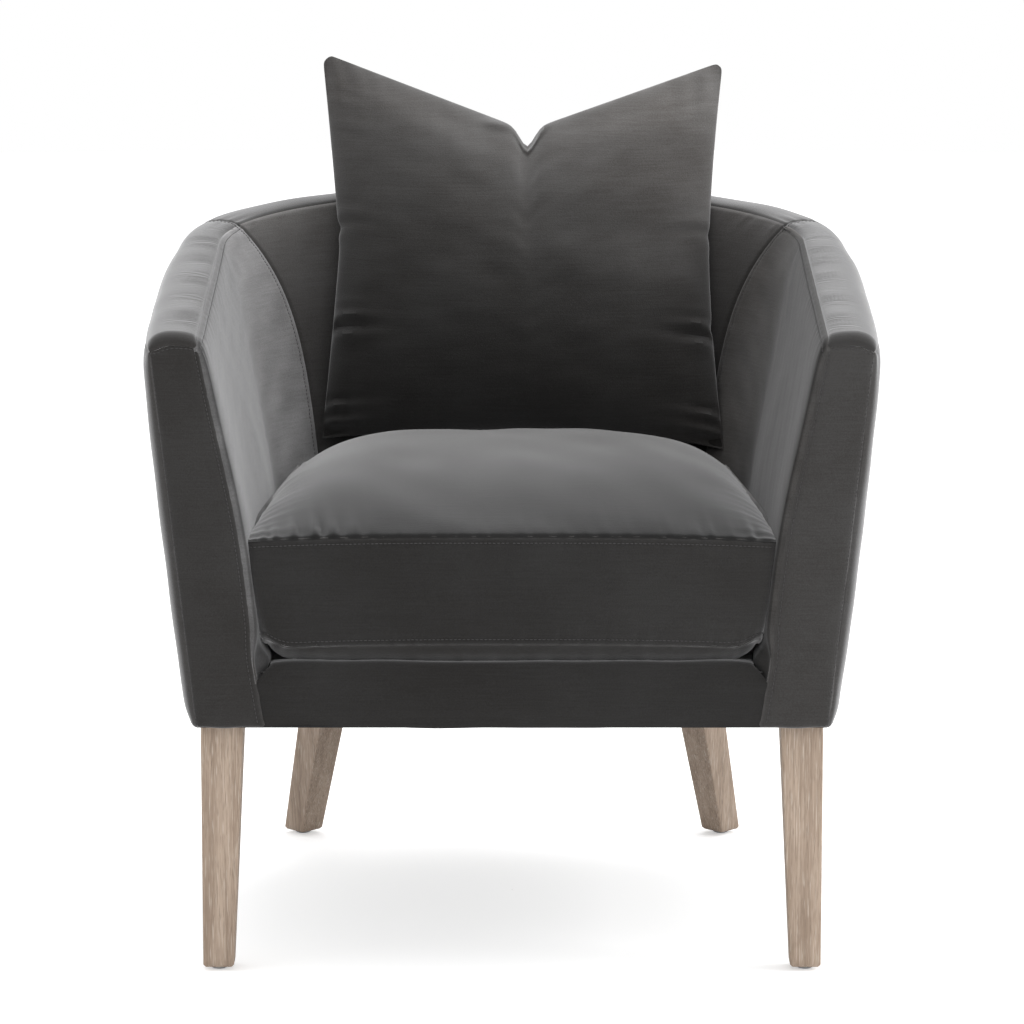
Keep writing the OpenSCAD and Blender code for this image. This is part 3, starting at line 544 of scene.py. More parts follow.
@dataclass(frozen=True)
class TubForm:
    """Plan, walls and top edge of the tub, in metres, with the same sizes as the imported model."""

    base_height: float = 0.249
    arm_height: float = 0.629
    back_rise: float = 0.074
    inner_width_top: float = 0.601
    inner_width_base: float = 0.478
    inner_depth_top: float = 0.631
    inner_depth_base: float = 0.535
    arm_straight: float = 0.403
    wall_top: float = 0.055
    arm_wall_base: float = 0.075
    back_wall_base: float = 0.084
    band_crown: float = 0.004
    band_drop: float = 0.014
    band_roll: float = 0.011
    seam_angle_low: float = 39.0
    seam_angle_top: float = 18.0
    overall_depth: float = 0.683638

    def plan(self, u: Array, half: Array, depth: Array) -> Array:
        """Plan point at station u, from 0 at the arm front to 2 at the other arm.

        Up to 1 it runs straight back at x = half. From there it follows half an ellipse:
        x = half cos(angle), y = straight + (depth - straight) sin(angle), angle = 180 degrees (u - 1).
        """
        angle = math.pi * np.maximum(u - 1.0, 0.0)
        x = half * np.cos(angle)
        y = np.where(u <= 1.0, u * self.arm_straight,
            self.arm_straight + (depth - self.arm_straight) * np.sin(angle))
        return np.stack(np.broadcast_arrays(x, y), -1)

    def seam_height(self, u: Array) -> Array:
        """Height of the inner top seam: it rises with the plan's depth."""
        y = self.plan(u, self.inner_width_top / 2, self.inner_depth_top)[..., 1]
        return self.arm_height + self.back_rise * y / self.inner_depth_top

    def wall(self, u: Array, z: Array, face: Face, inset: Array = 0.0) -> Array:
        """Point on a wall face, moved into the wall by inset.

        The face is ruled between its plan at the underside and its plan at the top seam:
        v = (z - base) / (seam - base), and the point is the blend of the two plans by v. The outer
        face draws in by up to 9 mm where the arms' upper edge turns into the back.
        """
        s = face.value * inset
        outer = face is Face.OUTER
        v = ((z - self.base_height) / (self.seam_height(u) - self.base_height))[..., None]
        low = self.plan(
            u,
            self.inner_width_base / 2 + (self.arm_wall_base if outer else 0.0) + s,
            self.inner_depth_base + (self.back_wall_base if outer else 0.0) + s,
        )
        top = self.plan(
            u,
            self.inner_width_top / 2 + (self.wall_top if outer else 0.0) + s,
            self.inner_depth_top + (self.wall_top if outer else 0.0) + s,
        )
        point = mix(low, top, v)
        if outer:
            turn = 0.009 * bell(point[..., 1] - 0.42, 0.085) * ease((z - 0.58) / 0.08)
            point[..., 0] -= turn * np.clip(point[..., 0] / 0.2, -1, 1)
        return np.concatenate([point, np.broadcast_to(z, u.shape)[..., None]], -1)

    def bow(self, points: Array) -> Array:
        """Inward swell of an arm's inner face: 8 mm times a bell of height, from the lip up, gone by
        the back seam."""
        z = points[..., 2]
        fade = 1 - ease((points[..., 1] - 0.25) / 0.2)
        return 0.008 * bell(z - 0.44, 0.12) * ease((z - 0.305) / 0.05) * fade

    def front_round(self, y: Array) -> Array:
        """Inset of an outer front edge: 6.5 mm times e to the power of minus y / 26 mm."""
        return 0.0065 * np.exp(-np.maximum(y, 0) / 0.026)

    def seam_angle(self, v: Array) -> Array:
        """Angle of the seam between arm and back, in degrees, at height share v."""
        return self.seam_angle_low - (self.seam_angle_low - self.seam_angle_top) * np.clip(v, 0, 1) ** 6.4

    def roll_drop(self, y: Array) -> Array:
        """Fall of the top edge over the arm front: radius less the root of 1 - (1 - y / radius) squared."""
        r = self.band_roll
        return np.where(y >= r, 0.0,
            r * (1.0 - np.sqrt(np.maximum(0.0, 1.0 - (1.0 - np.minimum(y, r) / r) ** 2))))

    def across(self, u: Array, share: Array, height: Array) -> Array:
        """Point across the top of the wall, at a share from inner to outer face and a height above the
        seam."""
        seam = self.seam_height(u)
        y = self.wall(u, seam, Face.INNER)[..., 1]
        z = seam + height - self.roll_drop(y) * (1.0 + np.minimum(0.0, height) / self.band_drop)
        return mix(self.wall(u, z, Face.INNER), self.wall(u, z, Face.OUTER), share[..., None])

    def band_section(self, count: int) -> tuple[Array, Array]:
        """Share across and height of the band's section, smoothed through its turning points.

        A Catmull-Rom curve goes through the points; the count of samples is even along its length.
        """
        c, d = self.band_crown, self.band_drop
        knots = np.array([
            [0, 0], [0.12, c * 0.65], [0.3, c], [0.55, c],
            [0.75, c * 0.3], [0.88, -d * 0.22], [0.96, -d * 0.58], [1, -d],
        ])
        ends = np.concatenate([[2 * knots[0] - knots[1]], knots, [2 * knots[-1] - knots[-2]]])
        t = np.linspace(0, 1, 24, endpoint=False)[:, None, None]
        p0, p1, p2, p3 = ends[None, :-3], ends[None, 1:-2], ends[None, 2:-1], ends[None, 3:]
        curve = 0.5 * (2 * p1 + (p2 - p0) * t + (2 * p0 - 5 * p1 + 4 * p2 - p3) * t**2
            + (3 * p1 - p0 - 3 * p2 + p3) * t**3)
        points = np.concatenate([curve.transpose(1, 0, 2).reshape(-1, 2), knots[-1:]])
        real = points * [self.wall_top, 1.0]
        walked = np.concatenate([[0], np.cumsum(np.linalg.norm(np.diff(real, axis=0), axis=1))])
        at = spread(walked[-1], 0.0011, 0.004, 0.016) * walked[-1] if count == 0 else np.linspace(0,
            walked[-1], count)
        return np.interp(at, walked, points[:, 0]), np.interp(at, walked, points[:, 1])

    def place(self, points: Array, side: Side = Side.RIGHT) -> Array:
        """Moves points from the tub's own frame to the row frame, and mirrors them for the left side."""
        return points * [side.value, 1.0, 1.0] - [0.0, self.overall_depth / 2, 0.0]


# ---------------------------------------------------------------- seams


@dataclass(frozen=True)
class Seam:
    """Relief of the cloth beside a seam, as a function of the distance from it."""

    sink: float = 0.0018
    sink_width: float = 0.0022
    fullness_reach: float = 0.012
    stitch: float = 0.0065
    groove: float = 0.0
    groove_width: float = 0.0012

    def offset(self, distance: Array) -> Array:
        """A bell sunk at the seam, and a shallow groove along the row of stitches."""
        groove = self.groove * bell(distance - self.stitch, self.groove_width)
        return -self.sink * bell(distance, self.sink_width) - groove

    def rise(self, distance: Array) -> Array:
        """Share of the fullness at a distance: 1 - e to the power of minus distance / reach."""
        return 1.0 - np.exp(-distance / self.fullness_reach)


TOPSTITCH = 0.0065  # distance of a decorative row of stitches from its seam
EDGE_STITCH = 0.0024  # distance of a row that holds a folded edge down
CLOTH_BACKING = 0.004  # depth of a cushion cover behind its face
PLAIN_SEAM = Seam()
STITCHED_SEAM = Seam(groove=0.0007)


def painted_seam_light(*distances: Array, strength: float = 1.2) -> Array:
    """Painted light beside seams: 1, plus the strength at the seam, gone within 2 mm; a positive strength
    paints a highlight and a negative one paints shade.
    """
    return 1 + strength * sum(bell(distance, 0.0011) for distance in distances)


@dataclass(frozen=True)
class Puckers:
    """Small folds that leave a seam at right angles and die out with distance."""

    height: float
    reach: float
    waves: Waves

    def offset(self, distance: Array, along: Array) -> Array:
        """Waves along the seam, times distance / reach times e to the power of 1 - distance / reach."""
        x = distance / self.reach
        return self.height * self.waves.along(along) * x * np.exp(1.0 - x)


@dataclass
class Stitches:
    """Rows of short thread stitches that lie on the cloth, gathered into one piece."""

    pitch: float = 0.0042
    length: float = 0.0031
    radius: float = 0.00042
    rows: list[tuple[Array, Array]] = field(default_factory=list)

    def add(self, points: Array, normals: Array) -> None:
        """Adds a row that runs through points, with the outward normals there."""
        self.rows.append((points, normals))

    def _row(self, points: Array, normals: Array) -> Array:
        """Rings of all stitches of one row: each stitch is a bar along the row, thin at its ends.

        Centres are a pitch apart along the row. Ring k lies at share s of the length, with radius
        times the root of 1 - s squared, and its middle is lifted by the same root.
        """
        walked = run_length(points[:, None], 0)[:, 0]
        count = max(1, int(walked[-1] / self.pitch))
        at = (np.arange(count) + 0.5) * walked[-1] / count
        share = np.linspace(-1.0, 1.0, 6)
        s = (at[:, None] + share[None] * self.length / 2).ravel()
        centre = np.stack([np.interp(s, walked, points[:, k]) for k in range(3)], -1)
        normal = np.stack([np.interp(s, walked, normals[:, k]) for k in range(3)], -1)
        normal /= np.linalg.norm(normal, axis=1, keepdims=True)
        ahead = np.stack([np.interp(s + 0.0005, walked, points[:, k]) for k in range(3)], -1) - centre
        behind = centre - np.stack([np.interp(s - 0.0005, walked, points[:, k]) for k in range(3)], -1)
        along = ahead + behind
        along /= np.maximum(np.linalg.norm(along, axis=1, keepdims=True), 1e-9)
        side = np.cross(normal, along)
        round_by = np.sqrt(np.maximum(0.08, 1.0 - np.tile(share, count) ** 2))[:, None]
        turn = np.linspace(0, 2 * math.pi, 6, endpoint=False)[None, :, None]
        lift = centre + normal * self.radius * (1.1 * round_by - 0.5)
        ring = lift[:, None] + self.radius * round_by[:, None] * (
            np.cos(turn) * side[:, None] + np.sin(turn) * normal[:, None]
        )
        return ring.reshape(count, len(share), 6, 3)

    def build(self, name: str) -> bpy.types.Object:
        """Joins all stitches of all rows into one mesh of closed bars."""
        rings = np.concatenate([self._row(p, n) for p, n in self.rows])
        count, levels, around = rings.shape[:3]
        points = rings.reshape(-1, 3)
        quads = grid_quads(levels, around, 0, False, False)
        wrap = np.stack([
            np.arange(levels - 1) * around + around - 1,
            np.arange(levels - 1) * around,
            np.arange(1, levels) * around,
            np.arange(1, levels) * around + around - 1,
        ], -1)
        quads = np.concatenate([quads, wrap])
        caps = np.stack([np.arange(around)[::-1], (levels - 1) * around + np.arange(around)])
        one = points[: levels * around]
        turned = signed_volume(one - one.mean(0), quads) < 0
        if turned:
            quads, caps = quads[:, ::-1], caps[:, ::-1]
        base = (np.arange(count) * levels * around)[:, None, None]
        all_quads = (quads[None] + base).reshape(-1, 4)
        all_caps = (caps[None] + base).reshape(-1, around)
        faces = np.concatenate([all_quads.ravel(), all_caps.ravel()])
        sizes = np.concatenate([np.full(len(all_quads), 4), np.full(len(all_caps), around)])
        return make_mesh(name, points, faces, sizes, 60.0)


def row_at(surface: Array, normals: Array, distance: Array, wanted: float, axis: int) -> tuple[Array,
    Array]:
    """Line on a grid at a set distance from an edge, found along each row by straight blending.

    Args:
        surface: Grid of points.
        normals: Outward normals of the grid.
        distance: Distance of each point from the edge, growing or falling along the axis.
        wanted: Distance of the line.
        axis: Axis along which the distance changes.

    Returns:
        The points and the normals of the line.
    """
    if axis == 0:
        surface, normals, distance = surface.swapaxes(0, 1), normals.swapaxes(0, 1), distance.T
    if distance[0, 0] > distance[0, -1]:
        surface, normals, distance = surface[:, ::-1], normals[:, ::-1], distance[:, ::-1]
    k = np.clip((distance < wanted).sum(1), 1, distance.shape[1] - 1)
    i = np.arange(len(k))
    t = ((wanted - distance[i, k - 1]) / np.maximum(distance[i, k] - distance[i, k - 1], 1e-9))[:, None]
    return mix(surface[i, k - 1], surface[i, k], t), mix(normals[i, k - 1], normals[i, k], t)


# ---------------------------------------------------------------- the upholstered tub


HEM = np.array([0.0090, 0.0080, 0.0070, 0.0058, 0.0045, 0.0032, 0.0020, 0.0011, 0.0004, 0.0])


@dataclass
class TubCovers:
    """The sewn covers of the tub: inside, outside, top band, arm fronts, front rail and deck."""

    form: TubForm
    stitches: Stitches
    velvet: dict[str, bpy.types.Material]
    depth: float = 0.006
    inside_low: float = 0.2927
    deck_top: float = 0.3022
    hem_radius: float = 0.0035
    front_fullness: float = 0.005
    inside_fullness: float = 0.003
    outside_fullness: float = 0.003
    outside_front: float = 0.0055
    band_fullness: float = 0.0012
    arm_front_fullness: float = 0.0025
    cover_front: float = 0.0015
    lip_height: float = 0.0090
    lip_depth: float = 0.024
    lip_round: float = 0.006
    arm_swell: float = 0.007

    def _finish(self, piece: bpy.types.Object, finish: str, fill: float, *nodes: str) -> bpy.types.Object:
        piece.data.materials.append(self.velvet[finish])
        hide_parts(*nodes)
        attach(piece, Body.TUB.value)
        log.info("%s: %d points", piece.name, len(piece.data.vertices))
        return piece

    def _outward(self, points: Array, guide: Array) -> Array:
        """Normals of a grid, turned to the side that the guide vector shows at its middle."""
        normal = grid_normals(points)
        middle = normal[points.shape[0] // 2, points.shape[1] // 2]
        return normal if middle @ guide > 0 else -normal

    def _arm_station(self, share: Array, v: Array) -> Array:
        """Station at a share of the way from the arm front to the arm seam, whose angle hangs on height."""
        return share * (1.0 + self.form.seam_angle(v) / 180.0)

    def _back_station(self, share: Array, v: Array) -> Array:
        """Station at a share of the way round the back, between the two arm seams."""
        angle = self.form.seam_angle(v)
        return 1.0 + mix(angle, 180.0 - angle, share) / 180.0

    def _inside_grid(self, station: Callable[[Array, Array], Array], shares: Array,
        heights: Array) -> Array:
        """Inner face over shares along the wall and shares of height up to the rolled top seam."""
        form = self.form
        a, b = np.meshgrid(shares, heights, indexing="ij")
        low_share = (self.inside_low - form.base_height) / (form.arm_height - form.base_height)
        u = station(a, mix(low_share, 1.0, b))
        seam = form.seam_height(u)
        top = seam - form.roll_drop(form.wall(u, seam, Face.INNER)[..., 1])
        return form.wall(u, mix(self.inside_low, top, b), Face.INNER)

    def inside_arm(self, side: Side) -> bpy.types.Object:
        """Inside arm: the inner face, padded out from its seams, with slack drawn down from the front.

        Offset = fullness times the seams' rises, plus a quick front roll, a fold behind the rail's lip,
        seam reliefs, puckers at the back seam, long slanting waves and a soft swell beside the rear of
        the cushion.
        """
        base = self._inside_grid(self._arm_station, spread(0.56, 0.0012, 0.006, 0.03),
            spread(0.36, 0.0012, 0.006, 0.03))
        base[..., 0] -= self.form.bow(base)
        normal = self._outward(base, np.array([-1.0, 0.0, 0.3]))
        front, back = edge_distances(base, 0)
        low, top = edge_distances(base, 1)
        seed = 11 if side is Side.LEFT else 12
        drag = Waves(0.035, 0.12, 9, seed).over(front * 0.93 + low * 0.36, low * 0.93 - front * 0.36, 0.22)
        above = ease((low - 0.02) / 0.03)
        offset = (
            self.inside_fullness * (1 - np.exp(-back / 0.02)) * (1 - np.exp(-top / 0.012)) * above
            + self.front_fullness * (1 - np.exp(-front / 0.014)) * np.exp(-front / 0.25)
                * (1 - np.exp(-top / 0.012)) * above
            + 0.014 * bell(low - 0.018, 0.014) * ease((front - 0.004) / 0.012) * bell(front - 0.03, 0.08)
            + 0.004 * bell(front - 0.45, 0.09) * ease(back / 0.08) * ease(top / 0.05) * above
            + STITCHED_SEAM.offset(top) + PLAIN_SEAM.offset(front) + STITCHED_SEAM.offset(back)
            + (0.00022 if side is Side.LEFT else 0.00012) * drag * ease(top / 0.03) * ease(front / 0.03)
                * ease(back / 0.03)
            + self.arm_swell * bell(front - 0.33, 0.2) * bell(low - 0.13, 0.16) * ease(back / 0.08)
            + Puckers(0.0003, 0.008, Waves(0.009, 0.03, 7, seed + 10)).offset(back, low)
            + Puckers(0.00025, 0.007, Waves(0.008, 0.03, 7, seed + 20)).offset(top, front)
        )
        face = base + normal * offset[..., None]
        brushed = 1 + 0.08 * Waves(0.06, 0.2, 7, seed + 40).over(front * 0.93 + low * 0.36,
            low * 0.93 - front * 0.36, 0.3)
        # painted light: highlights beside the top and front seams, and a lighter base colour behind the
        # plan's turn where the sheen falls away, far stronger on the left arm, as the light falls from the
        # right; the waves are brushed pile tone
        piece = shell(
            f"{side.name.lower()}_inside_arm_cover",
            self.form.place(face, side),
            self.form.place(base - normal * self.depth, side),
            painted_light_and_nap=painted_seam_light(top, front) * brushed
                * mix(*((1.3, 4.7) if side is Side.LEFT else (0.7, 1.9)),
                    ease((front - self.form.arm_straight + 0.01) / 0.07)),
        )
        self._sew(face, normal, top, 1, side)
        self._sew(face, normal, back, 0, side)
        name = side.name.lower()
        return self._finish(piece, f"{name}_inside", 0.8, f"{name}_inside_cover", f"{name}_inside_pad")

    def inside_back(self) -> bpy.types.Object:
        """Inside back between its two seams, padded as the arms are."""
        base = self._inside_grid(self._back_station, spread(0.66, 0.0012, 0.006, 0.03),
            spread(0.42, 0.0012, 0.006, 0.03))
        normal = self._outward(base, np.array([0.0, -1.0, 0.3]))
        right, left = edge_distances(base, 0)
        low, top = edge_distances(base, 1)
        near = np.minimum(right, left)
        offset = (
            self.inside_fullness * (1 - np.exp(-near / 0.02)) * (1 - np.exp(-top / 0.012))
            + PLAIN_SEAM.offset(top) + PLAIN_SEAM.offset(right) + PLAIN_SEAM.offset(left)
            + 0.0003 * Waves(0.05, 0.16, 9, 31).over(right, low) * ease(top / 0.03) * ease(near / 0.03)
            + Puckers(0.0003, 0.008, Waves(0.009, 0.03, 7, 32)).offset(near, low)
            + Puckers(0.0003, 0.007, Waves(0.008, 0.03, 7, 33)).offset(top, right)
        )
        face = base + normal * offset[..., None]
        # painted light and shade: a highlight at the top seam, painted light below it, and painted shade
        # towards the right side, which the right arm shades
        piece = shell(
            "inside_back_cover", self.form.place(face), self.form.place(base - normal * self.depth),
            painted_light_and_nap=painted_seam_light(top, strength=0.5)
                * (mix(0.8, 0.25, ease(base[..., 0] / 0.12)) + 1.5 * np.exp(-top / 0.11)),
        )
        return self._finish(piece, "inside_back", 0.8, "back_inside_cover", "back_inside_pad")

    def _sew(self, face: Array, normal: Array, distance: Array, axis: int, side: Side,
        wanted: float = TOPSTITCH) -> None:
        """Adds the row of stitches that runs beside a seam, on the side of the chair it belongs to."""
        points, normals = row_at(face, normal, distance, wanted, axis)
        self.stitches.add(self.form.place(points, side), normals * [side.value, 1.0, 1.0])

    def _outside_grid(self, station: Callable[[Array, Array], Array], shares: Array,
        heights: Array) -> tuple[Array, Array]:
        """Outer face over shares along the wall, from the hem under the frame up to the outer seam.

        The hem is a quarter circle: height = r - root(r squared - (r - inset) squared), then flat.
        """
        form, r = self.form, self.hem_radius
        hem_z = r - np.sqrt(np.maximum(0.0, r * r - np.maximum(0.0, r - HEM) ** 2))
        count = len(heights)
        inset = np.concatenate([HEM, np.zeros(count - 1)])
        a, b = np.meshgrid(shares, heights, indexing="ij")
        u = station(a, b)
        top = form.seam_height(u) - form.band_drop
        body = mix(form.base_height + r, top, b)
        hem = np.broadcast_to(form.base_height + hem_z - 0.0002, (len(shares), len(HEM)))
        z = np.concatenate([hem, body[:, 1:]], 1)
        u_all = np.concatenate([np.repeat(u[:, :1], len(HEM), 1), u[:, 1:]], 1)
        return form.wall(u_all, z, Face.OUTER, np.broadcast_to(inset, z.shape)), z

    def outside(self, name: str, station: Callable[[Array, Array], Array], length: float, side: Side,
        arm: bool, seed: int) -> bpy.types.Object:
        """Outside cover, blind-sewn at its edges and full between them, turned under the frame.

        Offset = fullness (1 - |2 s - 1| cubed) with s the share of height, plus a roll near the arm
        front, seam reliefs and soft waves.

        Args:
            name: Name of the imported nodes, left, right or back.
            station: Station from share along and share of height.
            length: Rough length, for the spacing of the rows.
            side: Side of the chair on which it is placed.
            arm: Whether its first edge is an arm front.
            seed: Seed of its waves.

        Returns:
            The piece.
        """
        base, z = self._outside_grid(station, spread(length, 0.0014, 0.007, 0.03),
            spread(0.4, 0.0014, 0.007, 0.03))
        if arm:
            base[..., 0] -= self.form.front_round(base[..., 1])
        normal = self._outward(base, np.array([1.0, 0.0, 0.0]) if arm else np.array([0.0, 1.0, 0.0]))
        start, end = edge_distances(base, 0)
        low, top = edge_distances(base, 1)
        share = np.clip((z - self.form.base_height) / (z[:, -1:] - self.form.base_height), 0, 1)
        near = end if arm else np.minimum(start, end)
        body = ease((low - 0.012) / 0.02)
        offset = (
            self.outside_fullness * (1 - np.abs(2 * share - 1) ** 3) * (1 - np.exp(-start / 0.012))
                * (1 - 0.35 * bell(near, 0.05))
            + (self.outside_front * np.exp(-start / 0.12) * (1 - np.exp(-start / 0.008)) * ease(low / 0.03)
                * (1 - np.exp(-top / 0.01)) if arm else 0.0)
            + PLAIN_SEAM.offset(start) + PLAIN_SEAM.offset(end) + PLAIN_SEAM.offset(top)
            + 0.00025 * Waves(0.06, 0.2, 9, seed).over(start, low) * body * ease(top / 0.03)
                * ease(near / 0.03)
            + Puckers(0.00025, 0.008, Waves(0.01, 0.03, 7, seed + 1)).offset(top, start)
            + Puckers(0.0003, 0.008, Waves(0.012, 0.04, 7, seed + 2)).offset(near, low) * body
        )
        face = base + normal * offset[..., None]
        # painted light: the arm's outer face is painted lighter near the arm front
        piece = shell(
            f"{name}_outside_panel", self.form.place(face, side),
                self.form.place(base - normal * 0.0022, side),
            painted_light_and_nap=1 + (1.2 * np.exp(-start / 0.05) if arm else 0.0 * start),
        )
        return self._finish(piece, "outside", 0.7, f"{name}_outside_cover", f"{name}_outside_pad")

    def band(self, name: str, station: Callable[[Array, Array], Array], length: float, side: Side,
        arm: bool, seed: int) -> bpy.types.Object:
        """Top band: its section carried round the top edge, gathered near the inner seam.

        Offset = small fullness, seam reliefs, gathers that run across the band, and puckers at the
        mitre. The gathers are a fine sine along the edge, its phase adrift, within patches.
        """
        shares = spread(length, 0.0009, 0.0009 if arm else 0.0032, 0.03)
        across, rise = self.form.band_section(0)
        u, f = np.meshgrid(station(shares, np.ones_like(shares)), across, indexing="ij")
        h = np.broadcast_to(rise, u.shape)
        base = self.form.across(u, f, h)
        if arm:
            base[..., 0] -= self.form.front_round(base[..., 1]) * f**3
        normal = self._outward(base, np.array([0.0, 0.0, 1.0]))
        start, end = edge_distances(base, 0)
        inner, outer = edge_distances(base, 1)
        along = np.broadcast_to(start[:, :1], start.shape)
        mitre = end if arm else np.minimum(start, end)
        patches = ease(0.75 + 0.5 * Waves(0.05, 0.16, 5, seed + 3).along(along))
        drift = 0.004 * Waves(0.03, 0.09, 5, seed).along(along) + 0.1 * inner
        gathers = np.sin(2 * math.pi * (along + drift) / 0.0035) * ease(inner / 0.006) * bell(inner - 0.014,
            0.022)
        offset = (
            self.band_fullness * (1 - np.exp(-inner / 0.008)) * (1 - np.exp(-outer / 0.008))
                * (1 - np.exp(-mitre / 0.01))
            + PLAIN_SEAM.offset(inner) + PLAIN_SEAM.offset(outer)
            + (STITCHED_SEAM.offset(end) * 0.6 + PLAIN_SEAM.offset(start) * 0.8 if arm else 0.6
                * PLAIN_SEAM.offset(mitre))
            + (0.00017 if arm else 0.0) * gathers * patches * ease(mitre / 0.02)
                * ease((start if arm else mitre) / 0.03)
            + Puckers(0.0004, 0.009, Waves(0.008, 0.020, 6, seed + 4)).offset(mitre, inner)
            + 0.00018 * Waves(0.05, 0.16, 7, seed + 5).over(along, inner) * ease(mitre / 0.02)
                * ease(inner / 0.01) * ease(outer / 0.01)
        )
        face = base + normal * offset[..., None]
        # painted shade at the inner seam and the mitre, and painted light at the arm-front end
        piece = shell(
            f"{name}_band", self.form.place(face, side), self.form.place(base - normal * 0.005, side),
            painted_light_and_nap=painted_seam_light(inner, mitre, strength=-0.5)
                + (0.9 * np.exp(-start / 0.012) if arm else 0.0 * start),
        )
        if arm:
            self._sew(face, normal, end, 0, side)
        return self._finish(piece, f"{name}_band", 0.8, f"{name}_top_band", f"{name}_top_pad")

    def arm_front(self, side: Side) -> bpy.types.Object:
        """Arm front: a flat panel over the end of the arm, slightly crowned, turned under the frame.

        The point at share f across and height z is the blend of the two walls' front edges, moved
        forward by the crown. The outer lower corner is rounded.
        """
        form, r = self.form, self.hem_radius
        across, rise = form.band_section(64)
        edge = spread(0.06, 0.0011, 0.003, 0.02)
        f = np.interp(edge, np.linspace(0, 1, len(across)), across)
        h = np.interp(edge, np.linspace(0, 1, len(across)), rise)
        heights = spread(0.38, 0.0012, 0.006, 0.03)
        zero = np.zeros_like(f)
        top = form.across(zero, f, h)[:, 2]
        hem_z = r - np.sqrt(np.maximum(0.0, r * r - np.maximum(0.0, r - HEM) ** 2))
        z = np.concatenate([
            np.broadcast_to(form.base_height + hem_z - 0.0002, (len(f), len(HEM))),
            mix(form.base_height + r, top[:, None], heights[None])[:, 1:],
        ], 1)
        inset = np.concatenate([HEM, np.zeros(len(heights) - 1)])
        flat = np.zeros_like(z)
        left, right = form.wall(flat, z, Face.INNER), form.wall(flat, z, Face.OUTER)
        left[..., 0] -= form.bow(left)
        right[..., 0] -= form.front_round(inset)[None]
        base = mix(left, right, f[:, None, None])
        base[..., 1] = inset[None]
        base[..., 0] -= 0.002 * bell(z - form.base_height, 0.004) * bell((1 - f[:, None]) * 0.075, 0.012)
        normal = self._outward(base, np.array([0.0, -1.0, 0.0]))
        inner, outer = edge_distances(base, 0)
        low, high = edge_distances(base, 1)
        seed = 51 if side is Side.LEFT else 52
        offset = (
            self.arm_front_fullness * (1 - np.exp(-inner / 0.007)) * (1 - np.exp(-outer / 0.007))
                * (1 - np.exp(-high / 0.006)) * ease((low - 0.004) / 0.02)
            + STITCHED_SEAM.offset(inner) + PLAIN_SEAM.offset(outer) + PLAIN_SEAM.offset(high)
            + 0.0003 * Waves(0.03, 0.1, 7, seed).over(inner, low) * ease(inner / 0.01) * ease(outer / 0.01)
                * ease(high / 0.01)
            + Puckers(0.00016, 0.005, Waves(0.007, 0.02, 7, seed + 10)).offset(inner, low)
            + Puckers(0.00016, 0.005, Waves(0.007, 0.02, 7, seed + 20)).offset(outer, low)
        )
        face = base + normal * offset[..., None]
        back = base - normal * self.cover_front
        name = side.name.lower()
        # painted highlights beside the inner, outer and top seams
        piece = shell(
            f"{name}_arm_front_panel", form.place(face, side), form.place(back, side),
            painted_light_and_nap=painted_seam_light(inner, outer, high),
        )
        keep = slice(len(HEM), None)
        for distance, wanted in ((inner, TOPSTITCH), (outer, EDGE_STITCH)):
            self._sew(face[:, keep], normal[:, keep], distance[:, keep], 0, side, wanted)
        self._sew(face, normal, high, 1, side, EDGE_STITCH)
        return self._finish(piece, f"{name}_front", 0.6, f"{name}_arm_front")

    def front_rail(self) -> bpy.types.Object:
        """Front rail: a straight padded panel between the arms, turned over the rail's two edges.

        The section goes from under the frame, round the lower edge, up the face, over the lip and
        down to the deck; x runs between the inner walls at each height, less a slant at the lip's ends.
        """
        form, r = self.form, self.hem_radius
        hem_z = 0.3 * (r - np.sqrt(np.maximum(0.0, r * r - np.maximum(0.0, r - HEM) ** 2)))
        top, q = self.deck_top + self.lip_height, self.lip_round
        body = mix(form.base_height + r, top - q, np.linspace(0, 1, 40)[1:])
        turn = np.radians(np.linspace(0, 90, 13)[1:])
        z = np.concatenate([
            form.base_height + hem_z - 0.0002, body, top - q + q * np.sin(turn), [top] * 5,
            top - q + q * np.cos(turn), np.linspace(top - q, self.deck_top + 0.0004, 5)[1:],
        ])
        y = np.concatenate([
            HEM * 0.3, np.zeros(39), q - q * np.cos(turn), np.linspace(q, self.lip_depth - q, 7)[1:-1],
            self.lip_depth - q + q * np.sin(turn), [self.lip_depth] * 4,
        ])
        x = spread(0.49, 0.0015, 0.006, 0.02)
        zz = np.broadcast_to(z, (len(x), len(z)))
        edge = form.wall(np.zeros_like(zz), zz, Face.INNER, 0.003)[...,
            0] - 0.018 * np.clip((zz - 0.293) / 0.0175, 0, 1)
        base = np.stack([edge * (2 * x[:, None] - 1),
            np.broadcast_to(y + 0.0014 + 0.004 * ease((z - 0.296) / 0.013), zz.shape), zz], -1)
        normal = self._outward(base, np.array([0.0, -1.0, 0.0]))
        left, right = edge_distances(base, 0)
        low, high = edge_distances(base, 1)
        near = np.minimum(left, right)
        offset = (
            0.0016 * (1 - np.exp(-near / 0.008)) * ease((low - 0.004) / 0.02) * ease((high - 0.004) / 0.02)
            - 0.0012 * bell(near, 0.002)
            + 0.0004 * Waves(0.05, 0.16, 7, 61).over(left, low) * ease(near / 0.02)
            + Puckers(0.0003, 0.008, Waves(0.012, 0.03, 7, 62)).offset(near, low)
        )
        face = base + normal * offset[..., None]
        piece = shell("front_rail_panel", form.place(face), form.place(base - normal * 0.0014))
        return self._finish(piece, "rail", 0.5, "front_rail_cover")

